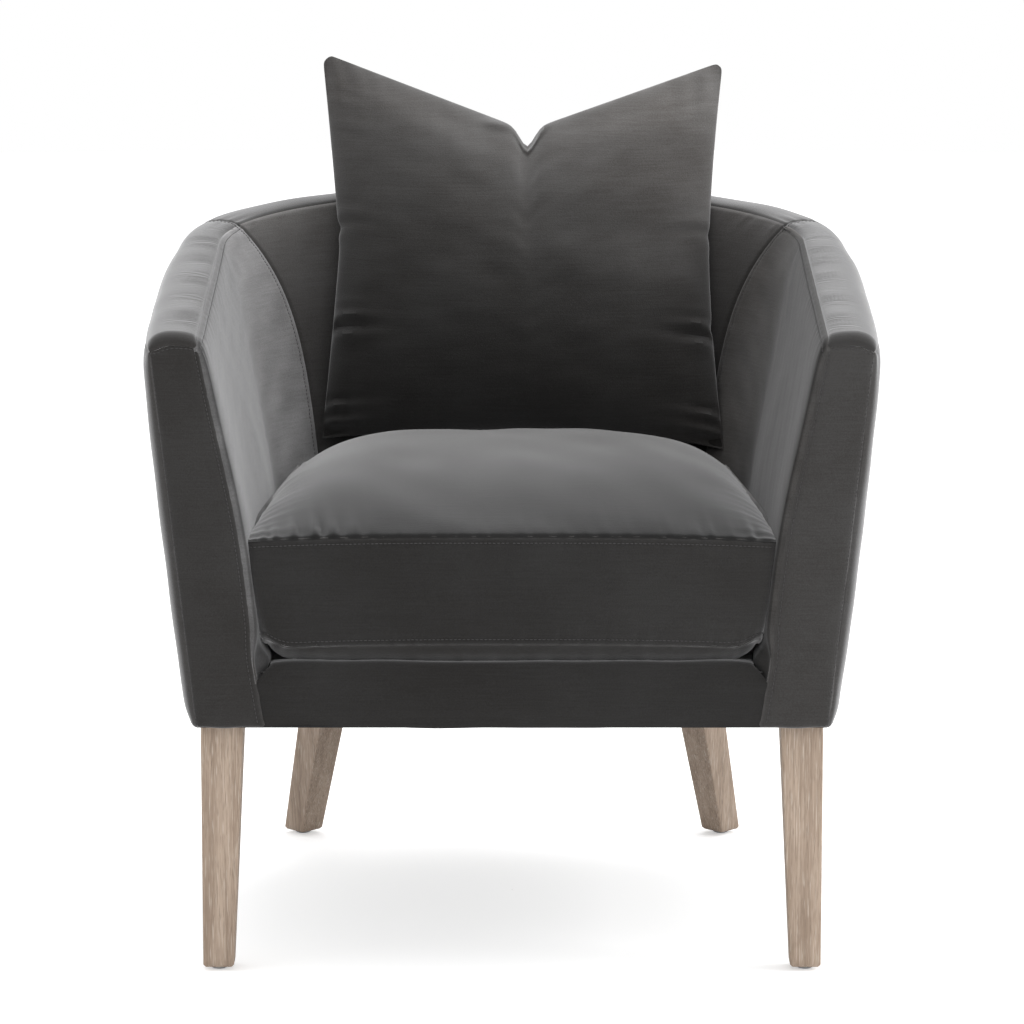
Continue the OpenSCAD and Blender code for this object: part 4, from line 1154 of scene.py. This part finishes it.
    def deck(self) -> bpy.types.Object:
        """Deck under the cushion: a taut cloth over the webbing, slightly hollow, to the inside walls.

        x goes between the inner walls at the deck's height, y from the rail to the back wall, and
        the height falls by a shallow bowl and shows the straps as faint bars.
        """
        form = self.form
        a, b = np.meshgrid(np.linspace(0, 1, 121), np.linspace(0, 1, 101), indexing="ij")
        top = np.full_like(a, self.deck_top)
        rear = form.wall(1.0 + a, top, Face.INNER, -0.0012)
        front = 0.0095
        x = rear[..., 0]
        y = mix(front, rear[..., 1], b)
        bowl = (1 - np.abs(2 * a - 1) ** 4) * (1 - np.abs(2 * b - 1) ** 4)
        straps = 0.5 + 0.5 * np.cos(x * 2 * math.pi / 0.088)
        z = top - 0.0012 * bowl - 0.0004 * bowl * straps + 0.0002 * Waves(0.03, 0.1, 7, 71).over(x,
            y) * bowl
        face = np.stack([x, y, z], -1)
        under = face - [0.0, 0.0, 0.0012]
        piece = shell("deck_platform", form.place(face), form.place(under))
        return self._finish(piece, "deck", 0.2, "deck_cover", "deck_pad")

    def build(self) -> None:
        """Makes every cover of the tub, from the inside out."""
        for side in Side:
            name = side.name.lower()
            seed = 100 if side is Side.LEFT else 200
            self.inside_arm(side)
            self.outside(name, self._arm_station, 0.66, side, True, seed)
            self.band(name, self._arm_station, 0.55, side, True, seed + 30)
            self.arm_front(side)
        self.inside_back()
        self.outside("back", self._back_station, 0.8, Side.RIGHT, False, 300)
        self.band("back", self._back_station, 0.62, Side.RIGHT, False, 330)
        self.front_rail()
        self.deck()


# ---------------------------------------------------------------- the seat cushion


@dataclass
class SeatCushion:
    """Box cushion: a crowned top panel, a boxing strip round it and a bellied bottom panel."""

    form: TubForm
    velvet: dict[str, bpy.types.Material]
    gap: float = 0.012
    front: float = 0.005
    corner: float = 0.011
    low_seam: float = 0.3290
    top_seam: float = 0.4366
    crown: float = 0.045
    crown_across: float = 6.0
    crown_deep: float = 2.6
    taper: float = 0.030
    flare: float = 0.004
    belly: float = 0.0262
    belly_reach: float = 0.012
    boxing_puff: float = 0.003
    seam_sag: float = 0.0045
    corner_lift: float = 0.011
    rows: Stitches = field(default_factory=Stitches)

    def _rear(self, angle: Array, z: Array) -> Array:
        """Point on the rear edge at an angle round the back: the inner wall, less the gap."""
        return self.form.wall(1.0 + angle / 180.0, z, Face.INNER, -self.gap)

    def _settle(self, x: Array, y: Array, half: Array, low: bool) -> Array:
        """Change of a seam's height: it sags towards the front corners, and the lower one lifts at them.

        Sag = depth |x / half| cubed e to the power of -(y - front) / 0.12; lift = a bell of the
        distance to the corner.
        """
        sag = -self.seam_sag * np.abs(x / half) ** 3 * np.exp(-np.maximum(y - self.front, 0) / 0.12)
        if not low:
            return sag
        reach = np.hypot(half - np.abs(x), y - self.front)
        return sag + self.corner_lift * bell(reach, 0.016)

    def _narrow(self, x: Array, y: Array, half: Array, rear: Array) -> Array:
        """Moves x by x / half times a length that goes from the flare in front to minus the taper at
        the rear."""
        return x + x / half * mix(self.flare, -self.taper,
            np.clip((y - self.front) / (rear - self.front), 0, 1))

    def _plan(self, seam: float) -> tuple[Array, Array]:
        """Grid of the cushion's plan at a seam: x by the cosine of an angle, y from front to rear.

        The front edge bends back over the rounded corners: y = front + r - root(r squared - e
        squared), with e the distance into the corner.
        """
        angle = np.linspace(0.0, 180.0, 181)
        t = spread(0.55, 0.0013, 0.0075, 0.04)
        rear = self._rear(angle, np.full_like(angle, seam))
        half = rear[0, 0]
        into = np.clip(np.abs(rear[:, 0]) - (half - self.corner), 0, self.corner)
        front = self.front + self.corner - np.sqrt(np.maximum(0, self.corner**2 - into**2))
        y = mix(front[:, None], rear[:, 1][:, None], t[None])
        x = self._narrow(rear[:, :1], y, half, rear[:, 1:2])
        return np.stack([x, y], -1), t

    def _dome(self, plan: Array, t: Array) -> Array:
        """Share of the crown: (1 - |s| to a power) times (1 - |2 t - 1| to a power), s = x / half at
        the front."""
        s = np.abs(plan[:, :1, 0]) / plan[0, 0, 0]
        return (1 - s**self.crown_across) * (1 - np.abs(2 * t[None] - 1) ** self.crown_deep)

    def top_panel(self) -> bpy.types.Object:
        """Top panel: seam height plus the crown, with slack drawn to the front seam.

        Offset = seam relief, puckers that leave the seam, deeper ones by the left front corner, and
        soft hollows.
        """
        plan, t = self._plan(self.top_seam)
        z = self.top_seam + self.crown * self._dome(plan, t)
        z = z + self._settle(plan[..., 0], plan[..., 1], plan[0, 0, 0], False)
        base = np.concatenate([plan, z[..., None]], -1)
        normal = grid_normals(base)
        normal = normal * np.sign(normal[90, 40, 2])
        right, left = edge_distances(base, 0)
        front, rear = edge_distances(base, 1)
        x, y = plan[..., 0], plan[..., 1]
        side = np.minimum(right, left)
        folds = 1.3 * bell(x + 0.2, 0.045) + 0.45 + 0.35 * bell(x - 0.2, 0.05)
        offset = (
            PLAIN_SEAM.offset(front) + PLAIN_SEAM.offset(rear) + PLAIN_SEAM.offset(side)
            + 0.0016 * (1 - np.exp(-np.minimum(front, side) / 0.006))
            + Puckers(0.0006, 0.012, Waves(0.009, 0.022, 7, 411)).offset(front, x + 0.12 * y) * folds
            + Puckers(0.0005, 0.012, Waves(0.016, 0.06, 7, 412)).offset(side, y)
            + Puckers(0.0005, 0.012, Waves(0.016, 0.06, 7, 413)).offset(rear, x)
            + 0.0007 * Waves(0.09, 0.28, 9, 414).over(x, y) * ease(np.minimum(front, side) / 0.05)
            + 0.00035 * Waves(0.03, 0.08, 9, 415).over(x, y, 1.6) * ease(front / 0.03)
        )
        face = base + normal * offset[..., None]
        # painted light: highlights beside the front and side seams, and painted shade towards the front
        # that gives way to painted light at the rear
        piece = shell(
            "cushion_top_cover", self.form.place(face), self.form.place(base - normal * CLOTH_BACKING),
            painted_light_and_nap=painted_seam_light(front, side, strength=1.0) * mix(0.15, 1.5, ease(front / 0.42)),
        )
        return self._finish(piece, "seat_top", 0.85, "cushion_top_panel", "cushion_core")

    def bottom_panel(self) -> bpy.types.Object:
        """Bottom panel: it rolls under from its seam to a flat belly that rests on the deck.

        Drop = belly (1 - e to the power of minus distance from the edge / reach).
        """
        plan, _ = self._plan(self.low_seam)
        x, y = plan[..., 0], plan[..., 1]
        flat = np.concatenate([plan, np.zeros_like(x)[..., None]], -1)
        right, left = edge_distances(flat, 0)
        front, rear = edge_distances(flat, 1)
        side = np.minimum(right, left)
        near = -np.log(np.exp(-front / 0.02) + np.exp(-rear / 0.02) + np.exp(-side / 0.02)) * 0.02
        near = np.maximum(near, 0) * ease(np.minimum(np.minimum(front, rear), side) / 0.004)
        slack = 1 + 0.03 * Waves(0.02, 0.06, 7, 421).along(x) * bell(front - 0.02, 0.03)
        lift = self._settle(x, y, x[0, 0], True)
        z = self.low_seam + lift * np.exp(-near / 0.010) - self.belly * (1
            - np.exp(-near / self.belly_reach)) * slack
        z = np.maximum(z, self.low_seam - self.belly)
        base = np.stack([x, y, z], -1)
        normal = grid_normals(base)
        normal = normal * -np.sign(normal[90, 40, 2])
        offset = PLAIN_SEAM.offset(front) + PLAIN_SEAM.offset(rear) + PLAIN_SEAM.offset(side)
        offset = offset + Puckers(0.0003, 0.010, Waves(0.012, 0.03, 7, 422)).offset(front, x)
        face = base + normal * (offset * ease(1.5 - near / 0.08))[..., None]
        piece = shell("cushion_bottom_cover", self.form.place(face), self.form.place(base - normal * 0.003))
        return self._finish(piece, "seat_bottom", 0.8, "cushion_bottom_panel")

    def _ring(self, z: Array) -> Array:
        """Boxing path at heights z: the front, a rounded corner, the side and half the rear, mirrored.

        Args:
            z: Heights.

        Returns:
            Grid of points round the cushion by heights.
        """
        rear = self._rear(np.zeros_like(z), z)
        half, r = rear[:, 0], self.corner
        across = np.linspace(0, 1, 100)[:, None]
        turn = np.radians(np.linspace(0, 90, 13)[1:])[:, None]
        deep = np.linspace(0, 1, 90)[1:, None]
        angle = np.linspace(0, 90, 70)[1:, None]
        zz = z[None]
        straight = self.form.arm_straight
        u = np.broadcast_to(angle, (len(angle), len(z)))
        back = self._rear(u, np.broadcast_to(zz, u.shape))
        one = np.ones_like(zz)
        parts = [
            np.stack([across * (half - r)[None], self.front * one * np.ones_like(across)], -1),
            np.stack([(half - r)[None] + r * np.sin(turn), self.front + r - r * np.cos(turn) * one], -1),
            np.stack([half[None] * np.ones_like(deep), mix(self.front + r, straight, deep) * one], -1),
            back[..., :2],
        ]
        right = np.concatenate(parts)
        tail = np.where(np.arange(len(right))[:, None] < len(right) - len(angle), straight, right[..., 1])
        right[..., 0] = self._narrow(right[..., 0], right[..., 1], half[None], tail)
        whole = np.concatenate([right, (right * [-1.0, 1.0])[-2:0:-1]])
        return np.concatenate([whole, np.broadcast_to(zz[..., None], (*whole.shape[:2], 1))], -1)

    def boxing(self) -> bpy.types.Object:
        """Boxing: the strip between the two seams, bulged at mid height, stitched beside both seams.

        Offset = puff (1 - (2 s - 1) squared) plus seam reliefs and puckers at both seams. The seams'
        own settling blends from edge to edge with s.
        """
        s = spread(self.top_seam - self.low_seam, 0.0011, 0.0045, 0.016)
        z = mix(self.low_seam, self.top_seam, s)
        base = self._ring(z)
        x, y = base[..., 0], base[..., 1]
        half = np.abs(x).max(0)[None]
        move = mix(self._settle(x, y, half, True), self._settle(x, y, half, False), s[None])
        base[..., 2] += move
        normal = grid_normals(base, loop=True)
        normal = normal * (-np.sign(normal[0, len(s) // 2, 1]))
        low, high = edge_distances(base, 1)
        around = run_length(base[:, :1], 0)
        around = np.broadcast_to(around, x.shape)
        front = ease((0.2 - y) / 0.15)
        offset = (
            self.boxing_puff * (1 - (2 * s[None] - 1) ** 2)
            + STITCHED_SEAM.offset(low) + STITCHED_SEAM.offset(high)
            + front * Puckers(0.0004, 0.006, Waves(0.010, 0.028, 7, 431)).offset(low, around)
            + front * Puckers(0.0002, 0.006, Waves(0.010, 0.028, 7, 432)).offset(high, around)
            + 0.0004 * front * Waves(0.05, 0.2, 9, 433).over(around, base[..., 2])
                * (1 - (2 * s[None] - 1) ** 2)
        )
        face = base + normal * offset[..., None]
        # painted light: highlights beside both seams, and the right side painted lighter, as lit from the
        # right
        piece = shell(
            "cushion_boxing_cover", self.form.place(face), self.form.place(base - normal * CLOTH_BACKING),
                loop=True,
            painted_light_and_nap=painted_seam_light(low, high) * (1 + 0.3 * ease(x / 0.2)),
        )
        for distance in (low, high):
            points, normals = row_at(face, normal, distance, TOPSTITCH, 1)
            self.rows.add(self.form.place(points), normals)
        return self._finish(piece, "boxing", 0.85, "cushion_boxing")

    def _finish(self, piece: bpy.types.Object, finish: str, fill: float, *nodes: str) -> bpy.types.Object:
        """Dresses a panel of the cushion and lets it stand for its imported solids."""
        piece.data.materials.append(self.velvet[finish])
        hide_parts(*nodes)
        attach(piece, Body.CUSHION.value)
        log.info("%s: %d points", piece.name, len(piece.data.vertices))
        return piece

    def build(self) -> None:
        """Makes the three panels and the stitches that go with them."""
        self.top_panel()
        self.bottom_panel()
        self.boxing()
        rows = self.rows.build("cushion_stitches")
        rows.data.materials.append(self.velvet["thread"])
        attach(rows, Body.CUSHION.value)


# ---------------------------------------------------------------- the back pillow


@dataclass
class BackPillow:
    """Knife-edged pillow, leaned on the back, with a chopped top edge and two pointed corners."""

    form: TubForm
    velvet: dict[str, bpy.types.Material]
    foot: tuple[float, float, float] = (0.010, 0.49466, 0.460847)
    lean: float = 14.5
    left_half: float = 0.194
    left_flare: float = 0.018
    right_half: float = 0.200
    right_flare: float = 0.015
    tip: float = 0.4018
    tip_tilt: float = -0.0025
    valley: float = 0.078
    tip_round: float = 0.0036
    notch: float = 0.017
    notch_width: float = 0.011
    notch_at: float = 0.006
    bottom_pull: float = 0.003
    left_sag: float = 0.006
    right_sag: float = 0.018
    front_depth: float = 0.062
    back_depth: float = 0.038
    seam_half: float = 0.0009

    def _sheet(self, s: Array, t: Array, n: Array) -> Array:
        """Point of the pillow at share s across, t up and n out of its middle plane.

        Half width = half + flare |t| to a power, less small pinches at the side seams; the height goes
        from the lower edge, pulled up
        between its corners, to the upper edge, which falls in a V to the notch.
        """
        half = np.where(
            s < 0,
            self.left_half + self.left_flare * np.abs(t) ** 1.15,
            self.right_half + self.right_flare * np.abs(t) ** 1.6,
        )
        height = (t + 1) * 0.2
        pinch = np.where(s < 0, 1.4 * bell(height - 0.221, 0.006),
            0.8 * bell(height - 0.222, 0.006) + 0.8 * bell(height - 0.125, 0.007))
        x = (half - self.tip_round * np.clip(t, 0, 1) ** 90 - 0.0022 * pinch * np.abs(s) ** 12) * s
        edge = np.abs(s * 0.2135 - self.notch_at) / 0.2135
        high = self.tip + self.tip_tilt * s - self.valley * (1 - np.minimum(edge, 1.0))
        high = high - self.notch * bell(s * 0.2135 - self.notch_at, self.notch_width)
        high = high - self.tip_round * np.abs(s) ** 90
        sag = np.where(s < 0, self.left_sag, self.right_sag) * np.abs(s) ** 2.2
        low = self.bottom_pull * (1 - s * s) - sag
        up = mix(low, high, (t + 1) / 2)
        a = math.radians(self.lean)
        return np.stack([
            self.foot[0] + x,
            self.foot[1] + up * math.sin(a) - n * math.cos(a),
            self.foot[2] + up * math.cos(a) + n * math.sin(a),
        ], -1)

    def _swell(self, s: Array, t: Array, depth: float, seed: int) -> Array:
        """Fullness out of the middle plane.

        (depth) (1 - |s| to 2.6) to 0.7 (1 - |t| to 2.6) to 0.7, hollowed below the notch, with puckers
        at right angles to the four seams, a lip and a ridge by the notch, and soft waves.
        """
        round_by = (1 - np.abs(s) ** 2.6) ** 0.7 * (1 - np.abs(t) ** 2.6) ** 0.7
        x, up = s * 0.2135, (t + 1) * 0.2
        dx = x - self.notch_at
        chop = 0.22 * bell(dx, 0.075) * ease((t - 0.3) / 0.7)
        down = (1 - t) * 0.15
        lip = 0.0045 * bell(np.hypot(dx - 0.004, 1.6 * down) - 0.015, 0.0045) * ease((dx + 0.022) / 0.02)
        ridge = 0.0055 * bell(down - 0.006 + 0.25 * (dx + 0.03), 0.006) * bell(dx + 0.032, 0.016)
        side = (1 - np.abs(s)) * 0.2135
        ends = (1 - np.abs(t)) * 0.2
        pucker = Puckers(0.0022, 0.013, Waves(0.014, 0.040, 7, seed)).offset(side, up)
        patchy = ease(0.35 + 0.9 * Waves(0.07, 0.2, 5, seed + 5).along(up))
        pucker = pucker * patchy * mix(0.35, 1.0, ease((0.28 - up) / 0.12))
        pucker = pucker + Puckers(0.0007, 0.014, Waves(0.020, 0.055, 7, seed + 1)).offset(ends, x)
        soft = 0.0010 * Waves(0.07, 0.24, 9, seed + 2).over(x, up)
        small = 0.0003 * Waves(0.025, 0.06, 9, seed + 4).over(x, up)
        inner = ease(side / 0.03) * ease(ends / 0.03)
        relief = pucker + lip + ridge
        return (
            self.seam_half + (depth - 0.0005) * round_by * (1 - chop) + (soft + small) * inner
            + relief * ease(np.minimum(side, ends) / 0.002)
        )

    def panel(self, front: bool) -> bpy.types.Object:
        """One half of the pillow, from its swelled face to the middle plane."""
        shares = 2 * spread(0.42, 0.0010, 0.0044, 0.05) - 1
        s, t = np.meshgrid(shares, shares, indexing="ij")
        n = self._swell(s, t, self.front_depth if front else self.back_depth, 511 if front else 531)
        face = self._sheet(s, t, n if front else -n)
        back = self._sheet(s, t, np.zeros_like(s))
        name = "front" if front else "back"
        # painted light and shade on the front half: darker towards the bottom, lighter towards the top and
        # the right, and a lighter band below the top edge
        painted_light_and_nap = mix(0.55, 1.5, ease((t + 0.6) / 1.4)) * (1 + 0.75 * ease(s)) * (1 + 0.35
            * bell((1 - t) * 0.2 - 0.03, 0.03))
        piece = shell(f"pillow_{name}_cover", self.form.place(face), self.form.place(back),
            painted_light_and_nap=painted_light_and_nap if front else None)
        piece.data.materials.append(self.velvet["pillow"])
        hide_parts(*(("pillow_front_panel", "pillow_insert") if front else ("pillow_back_panel",)))
        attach(piece, Body.PILLOW.value)
        log.info("%s: %d points", piece.name, len(piece.data.vertices))
        return piece

    def build(self) -> None:
        """Makes the two halves of the pillow."""
        self.panel(True)
        self.panel(False)


# ---------------------------------------------------------------- legs


@dataclass
class Legs:
    """Four square tapered legs with eased edges; the rear pair splays back."""

    form: TubForm
    front_oak: bpy.types.Material
    # the rear pair takes a darker copy of the oak, painted shade for their place under the chair
    rear_oak: bpy.types.Material
    top_side: float = 0.042
    foot_side: float = 0.030
    foot_height: float = 0.004
    ease_radius: float = 0.0022
    front_top: tuple[float, float] = (0.282, 0.043)
    front_foot: tuple[float, float] = (0.288, 0.037)
    rear_top: tuple[float, float] = (0.18729, 0.54776)
    rear_foot: tuple[float, float] = (0.229502, 0.597192)

    def leg(self, side: Side, front: bool) -> bpy.types.Object:
        """One leg: a rounded square whose side, centre and eased corners go from foot to top.

        The square's outline is the corner centre plus the corner radius times the unit circle, with
        the centre at (side / 2 - r) times the quadrant's signs. The foot edge is chamfered.
        """
        r = self.ease_radius
        height = np.concatenate([[0.0, 0.0004, 0.0012, 0.0022],
            np.linspace(0.01, self.form.base_height - self.foot_height, 40)])
        share = (height / height[-1])[:, None]
        chamfer = (0.0016 * (1 - ease(height / 0.0022)))[:, None]
        size = mix(self.foot_side, self.top_side, share) / 2 - chamfer
        turn = np.radians(np.arange(0, 360, 7.5) + 3.75)[None]
        quadrant = np.floor(turn / (math.pi / 2)) * math.pi / 2 + math.pi / 4
        corner = (size - r) * math.sqrt(2)
        x = corner * np.cos(quadrant) + r * np.cos(turn)
        y = corner * np.sin(quadrant) + r * np.sin(turn)
        if not front:
            x, y = (x - y) / math.sqrt(2), (x + y) / math.sqrt(2)
        foot, top = (self.front_foot, self.front_top) if front else (self.rear_foot, self.rear_top)
        rings = np.stack([
            x + mix(foot[0], top[0], share),
            y + mix(foot[1], top[1], share),
            np.broadcast_to(self.foot_height + height[:, None], x.shape),
        ], -1)
        name = f"{side.name.lower()}_{'front' if front else 'rear'}_leg"
        piece = tube(f"{name}_oak", self.form.place(rings, side))
        piece.data.materials.append(self.front_oak if front else self.rear_oak)
        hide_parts(name)
        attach(piece, Body.TUB.value)
        log.info("%s: %d points", piece.name, len(piece.data.vertices))
        return piece

    def build(self) -> None:
        """Makes the four legs."""
        for side in Side:
            self.leg(side, True)
            self.leg(side, False)


# ---------------------------------------------------------------- kept parts, room and light


EVEN_GRAIN = (300.0, 300.0, 300.0)  # a grain with no direction
KEPT_FINISHES: dict[str, Plain] = {
    "hardwood": Plain("frame_hardwood", (0.36, 0.24, 0.14), (0.62, 0.46, 0.30), 0.6, (160.0, 160.0, 12.0)),
    "webbing": Plain("jute_webbing", (0.30, 0.20, 0.10), (0.50, 0.37, 0.22), 0.9, (700.0, 700.0, 700.0)),
    "dust_cloth": Plain("black_underside_cloth", (0.010, 0.010, 0.011), (0.028, 0.028, 0.030), 0.95,
        (900.0, 900.0, 900.0)),
    "felt": Plain("grey_felt", (0.30, 0.29, 0.27), (0.48, 0.46, 0.43), 0.95, (500.0, 500.0, 500.0)),
    "foam": Plain("cream_foam", (0.74, 0.66, 0.42), (0.88, 0.82, 0.60), 0.95, (420.0, 420.0, 420.0)),
    "insert": Plain("pillow_ticking", (0.74, 0.72, 0.68), (0.86, 0.84, 0.80), 0.9, EVEN_GRAIN),
    "steel": Plain("zinc_plated_steel", (0.42, 0.43, 0.45), (0.62, 0.63, 0.65), 0.32, EVEN_GRAIN, 1.0,
        0.0001),
    "slider": Plain("black_zip_slider", (0.018, 0.018, 0.019), (0.034, 0.034, 0.036), 0.45, EVEN_GRAIN, 0.6,
        0.0001),
    "nylon": Plain("grey_nylon", (0.30, 0.31, 0.32), (0.46, 0.47, 0.48), 0.38, (200.0, 200.0, 200.0), 0.0,
        0.0001),
    "zip_tape": Plain("charcoal_zip_tape", (0.020, 0.019, 0.019), (0.045, 0.043, 0.043), 0.8,
        (1400.0, 1400.0, 1400.0)),
    "velvet": Plain("charcoal_backing", (0.028, 0.026, 0.025), (0.045, 0.042, 0.042), 0.92,
        (900.0, 900.0, 900.0)),
    "oak": Plain("oak_core", (0.345, 0.255, 0.190), (0.560, 0.440, 0.345), 0.62, (300.0, 300.0, 12.0)),
}


def dress_kept_nodes() -> None:
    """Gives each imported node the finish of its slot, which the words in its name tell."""
    made = {name: finish.build() for name, finish in KEPT_FINISHES.items()}
    for name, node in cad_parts.items():
        finish = made[node_slot(name)]
        node.data.materials.clear()
        node.data.materials.append(finish)


def node_slot(name: str) -> str:
    """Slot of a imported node, by the words in its name."""
    words = {
        "hardwood": ("_rail", "_post", "stile", "_block"),
        "webbing": ("webbing",),
        "dust_cloth": ("dust_cover",),
        "slider": ("slider",),
        "steel": ("leg_bolts", "tee_nuts"),
        "nylon": ("glides",),
        "zip_tape": ("_zip",),
        "felt": ("outside_pad", "deck_pad"),
        "insert": ("pillow_insert",),
        "foam": ("_pad", "cushion_core"),
        "oak": ("_leg",),
    }
    if name == "front_rail_cover":
        return "velvet"
    for slot, marks in words.items():
        if any(mark in name for mark in marks):
            return slot
    return "velvet"


@dataclass(frozen=True)
class SoftLight:
    """A square lamp that aims at a point."""

    name: str
    at: tuple[float, float, float]
    aim: tuple[float, float, float]
    size: float
    power: float

    def build(self) -> None:
        """Makes the lamp, turned so that its face looks at the aim."""
        data = bpy.data.lights.new(self.name, "AREA")
        data.shape, data.size, data.energy = "SQUARE", self.size, self.power
        lamp = bpy.data.objects.new(self.name, data)
        lamp.location = self.at
        lamp.rotation_euler = (Vector(self.aim) - Vector(self.at)).to_track_quat("-Z", "Y").to_euler()
        bpy.context.scene.collection.objects.link(lamp)


@dataclass
class Studio:
    """Pale floor, soft lamps, white surroundings and the camera."""

    camera_at: tuple[float, float, float] = (0.0, -4.854, 1.248)
    camera_pitch: float = 80.11
    lens: float = 167.7
    surround_low: float = 0.60
    surround_high: float = 0.95
    lamps: tuple[SoftLight, ...] = (
        SoftLight("overhead", (0.3, 0.6, 2.9), (0.0, 0.0, 0.5), 2.4, 46.0),
        SoftLight("right_side", (2.6, -0.2, 1.7), (0.0, 0.0, 0.5), 1.8, 36.0),
        SoftLight("left_side", (-2.6, -1.0, 1.7), (0.0, 0.0, 0.5), 1.8, 6.0),
        SoftLight("front_fill", (0.4, -4.2, 2.2), (0.0, 0.0, 0.5), 1.6, 14.0),
    )

    def _floor(self) -> None:
        """Round floor plate in plain white, lifted towards white for the camera alone."""
        turn = np.linspace(0, 2 * math.pi, 97)[:-1]
        radius = np.array([0.001, 3.0, 8.0])
        top = np.stack([radius[None] * np.cos(turn)[:, None], radius[None] * np.sin(turn)[:, None],
            np.zeros((96, 3))], -1)
        plate = shell("floor", top, top - [0.0, 0.0, 0.01], loop=True)
        material, nodes, shader, place = start_material("floor_white", Roughness=0.9,
            Specular_IOR_Level=0.1)
        cloud = nodes.reach(nodes.noise(place, 3.0), 0.3, 0.7, 0.0, 1.0)
        nodes.join(nodes.blend(cloud, (0.93, 0.93, 0.93), (0.95, 0.95, 0.95)), shader.inputs["Base Color"])
        shader.inputs["Emission Color"].default_value = (1.0, 1.0, 1.0, 1.0)
        seen = nodes.add("ShaderNodeLightPath").outputs["Is Camera Ray"]
        nodes.join(nodes.reach(seen, 0.0, 1.0, 0.0, 0.42), shader.inputs["Emission Strength"])
        plate.data.materials.append(material)

    def _surround(self) -> None:
        """World: white to the camera, and a soft grey-white light for all else, gloss included."""
        world = bpy.data.worlds.new("white_room")
        world.use_nodes = True
        tree = world.node_tree
        tree.nodes.clear()
        nodes = Nodes(tree)
        path = nodes.add("ShaderNodeLightPath")
        seen, soft = nodes.add("ShaderNodeBackground"), nodes.add("ShaderNodeBackground")
        seen.inputs["Strength"].default_value = 1.0
        for light in (seen, soft):
            light.inputs["Color"].default_value = (1.0, 1.0, 1.0, 1.0)
        up = nodes.add("ShaderNodeSeparateXYZ")
        nodes.join(nodes.add("ShaderNodeTexCoord").outputs["Generated"], up.inputs[0])
        nodes.join(nodes.reach(up.outputs["Z"], -0.1, 0.9, self.surround_low, self.surround_high),
            soft.inputs["Strength"])
        mixer, output = nodes.add("ShaderNodeMixShader"), nodes.add("ShaderNodeOutputWorld")
        nodes.join(path.outputs["Is Camera Ray"], mixer.inputs[0])
        nodes.join(soft.outputs[0], mixer.inputs[1])
        nodes.join(seen.outputs[0], mixer.inputs[2])
        nodes.join(mixer.outputs[0], output.inputs["Surface"])
        bpy.context.scene.world = world

    def _camera(self) -> None:
        """Camera in front of the chair, a little above it, level from side to side."""
        data = bpy.data.cameras.new("camera")
        data.lens, data.sensor_width = self.lens, 36.0
        data.clip_start, data.clip_end = 0.1, 60.0
        camera = bpy.data.objects.new("camera", data)
        camera.location = self.camera_at
        camera.rotation_euler = (math.radians(self.camera_pitch), 0.0, 0.0)
        bpy.context.scene.collection.objects.link(camera)
        bpy.context.scene.camera = camera

    def build(self) -> None:
        """Makes the room."""
        self._floor()
        self._surround()
        self._camera()
        for lamp in self.lamps:
            lamp.build()
        bpy.context.scene.view_settings.view_transform = "Standard"


def velvets() -> dict[str, bpy.types.Material]:
    """One velvet for each panel: its weft lines lie as that panel was cut, and its lift paints the panel
    lighter or darker as it is lit, so the velvets are lit and shaded copies of one.
    """
    base = Velvet("velvet_base")
    upright = (26.0, 26.0, 620.0)
    level = (26.0, 620.0, 26.0)
    # painted light: the lift of each panel makes a lighter or darker copy of the same velvet, for how that
    # panel is lit
    cuts_and_painted_light = {
        "left_inside": dict(
            lift=2.1, sheen=0.58, dark=(0.0142, 0.0138, 0.0138), light=(0.0248, 0.0246, 0.0248),
        ),
        "right_inside": dict(lift=1.7, sheen=0.26),
        "inside_back": dict(lift=2.0),
        "outside": dict(),
        "left_band": dict(line_scale=level, sheen=0.9),
        "right_band": dict(line_scale=level, sheen=0.85),
        "back_band": dict(line_scale=level, lift=1.4),
        "left_front": dict(lift=1.5),
        "right_front": dict(lift=2.1),
        "rail": dict(lift=1.0, sheen=0.6),
        "deck": dict(line_scale=level),
        "seat_top": dict(line_scale=level, lift=1.5, sheen=0.78),
        "seat_bottom": dict(lift=1.2, line_scale=level),
        "boxing": dict(line_scale=upright, lift=0.95),
        "pillow": dict(line_scale=upright, lift=1.7, sheen=0.6),
    }
    made = {key: replace(base, name=f"velvet_{key}", **cut).build() for key, cut in cuts_and_painted_light.items()}
    made["thread"] = Plain("charcoal_thread", (0.030, 0.028, 0.028), (0.060, 0.058, 0.060), 0.55,
        (2200.0, 2200.0, 2200.0)).build()
    return made


def main() -> None:
    """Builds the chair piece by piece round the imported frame, then the room."""
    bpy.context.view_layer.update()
    form = TubForm()
    velvet = velvets()
    dress_kept_nodes()
    stitches = Stitches()
    TubCovers(form, stitches, velvet).build()
    rows = stitches.build("tub_stitches")
    rows.data.materials.append(velvet["thread"])
    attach(rows, Body.TUB.value)
    SeatCushion(form, velvet).build()
    BackPillow(form, velvet).build()
    # lit and shaded copies of the oak: the front pair is painted a little lighter, as lit, and the rear
    # pair darker, as painted shade
    Legs(form, LimedOak("limed_oak", lift=1.05).build(),
        LimedOak("limed_oak_rear_shaded", lift=0.85).build()).build()
    Studio().build()


if __name__ == "__main__":
    main()
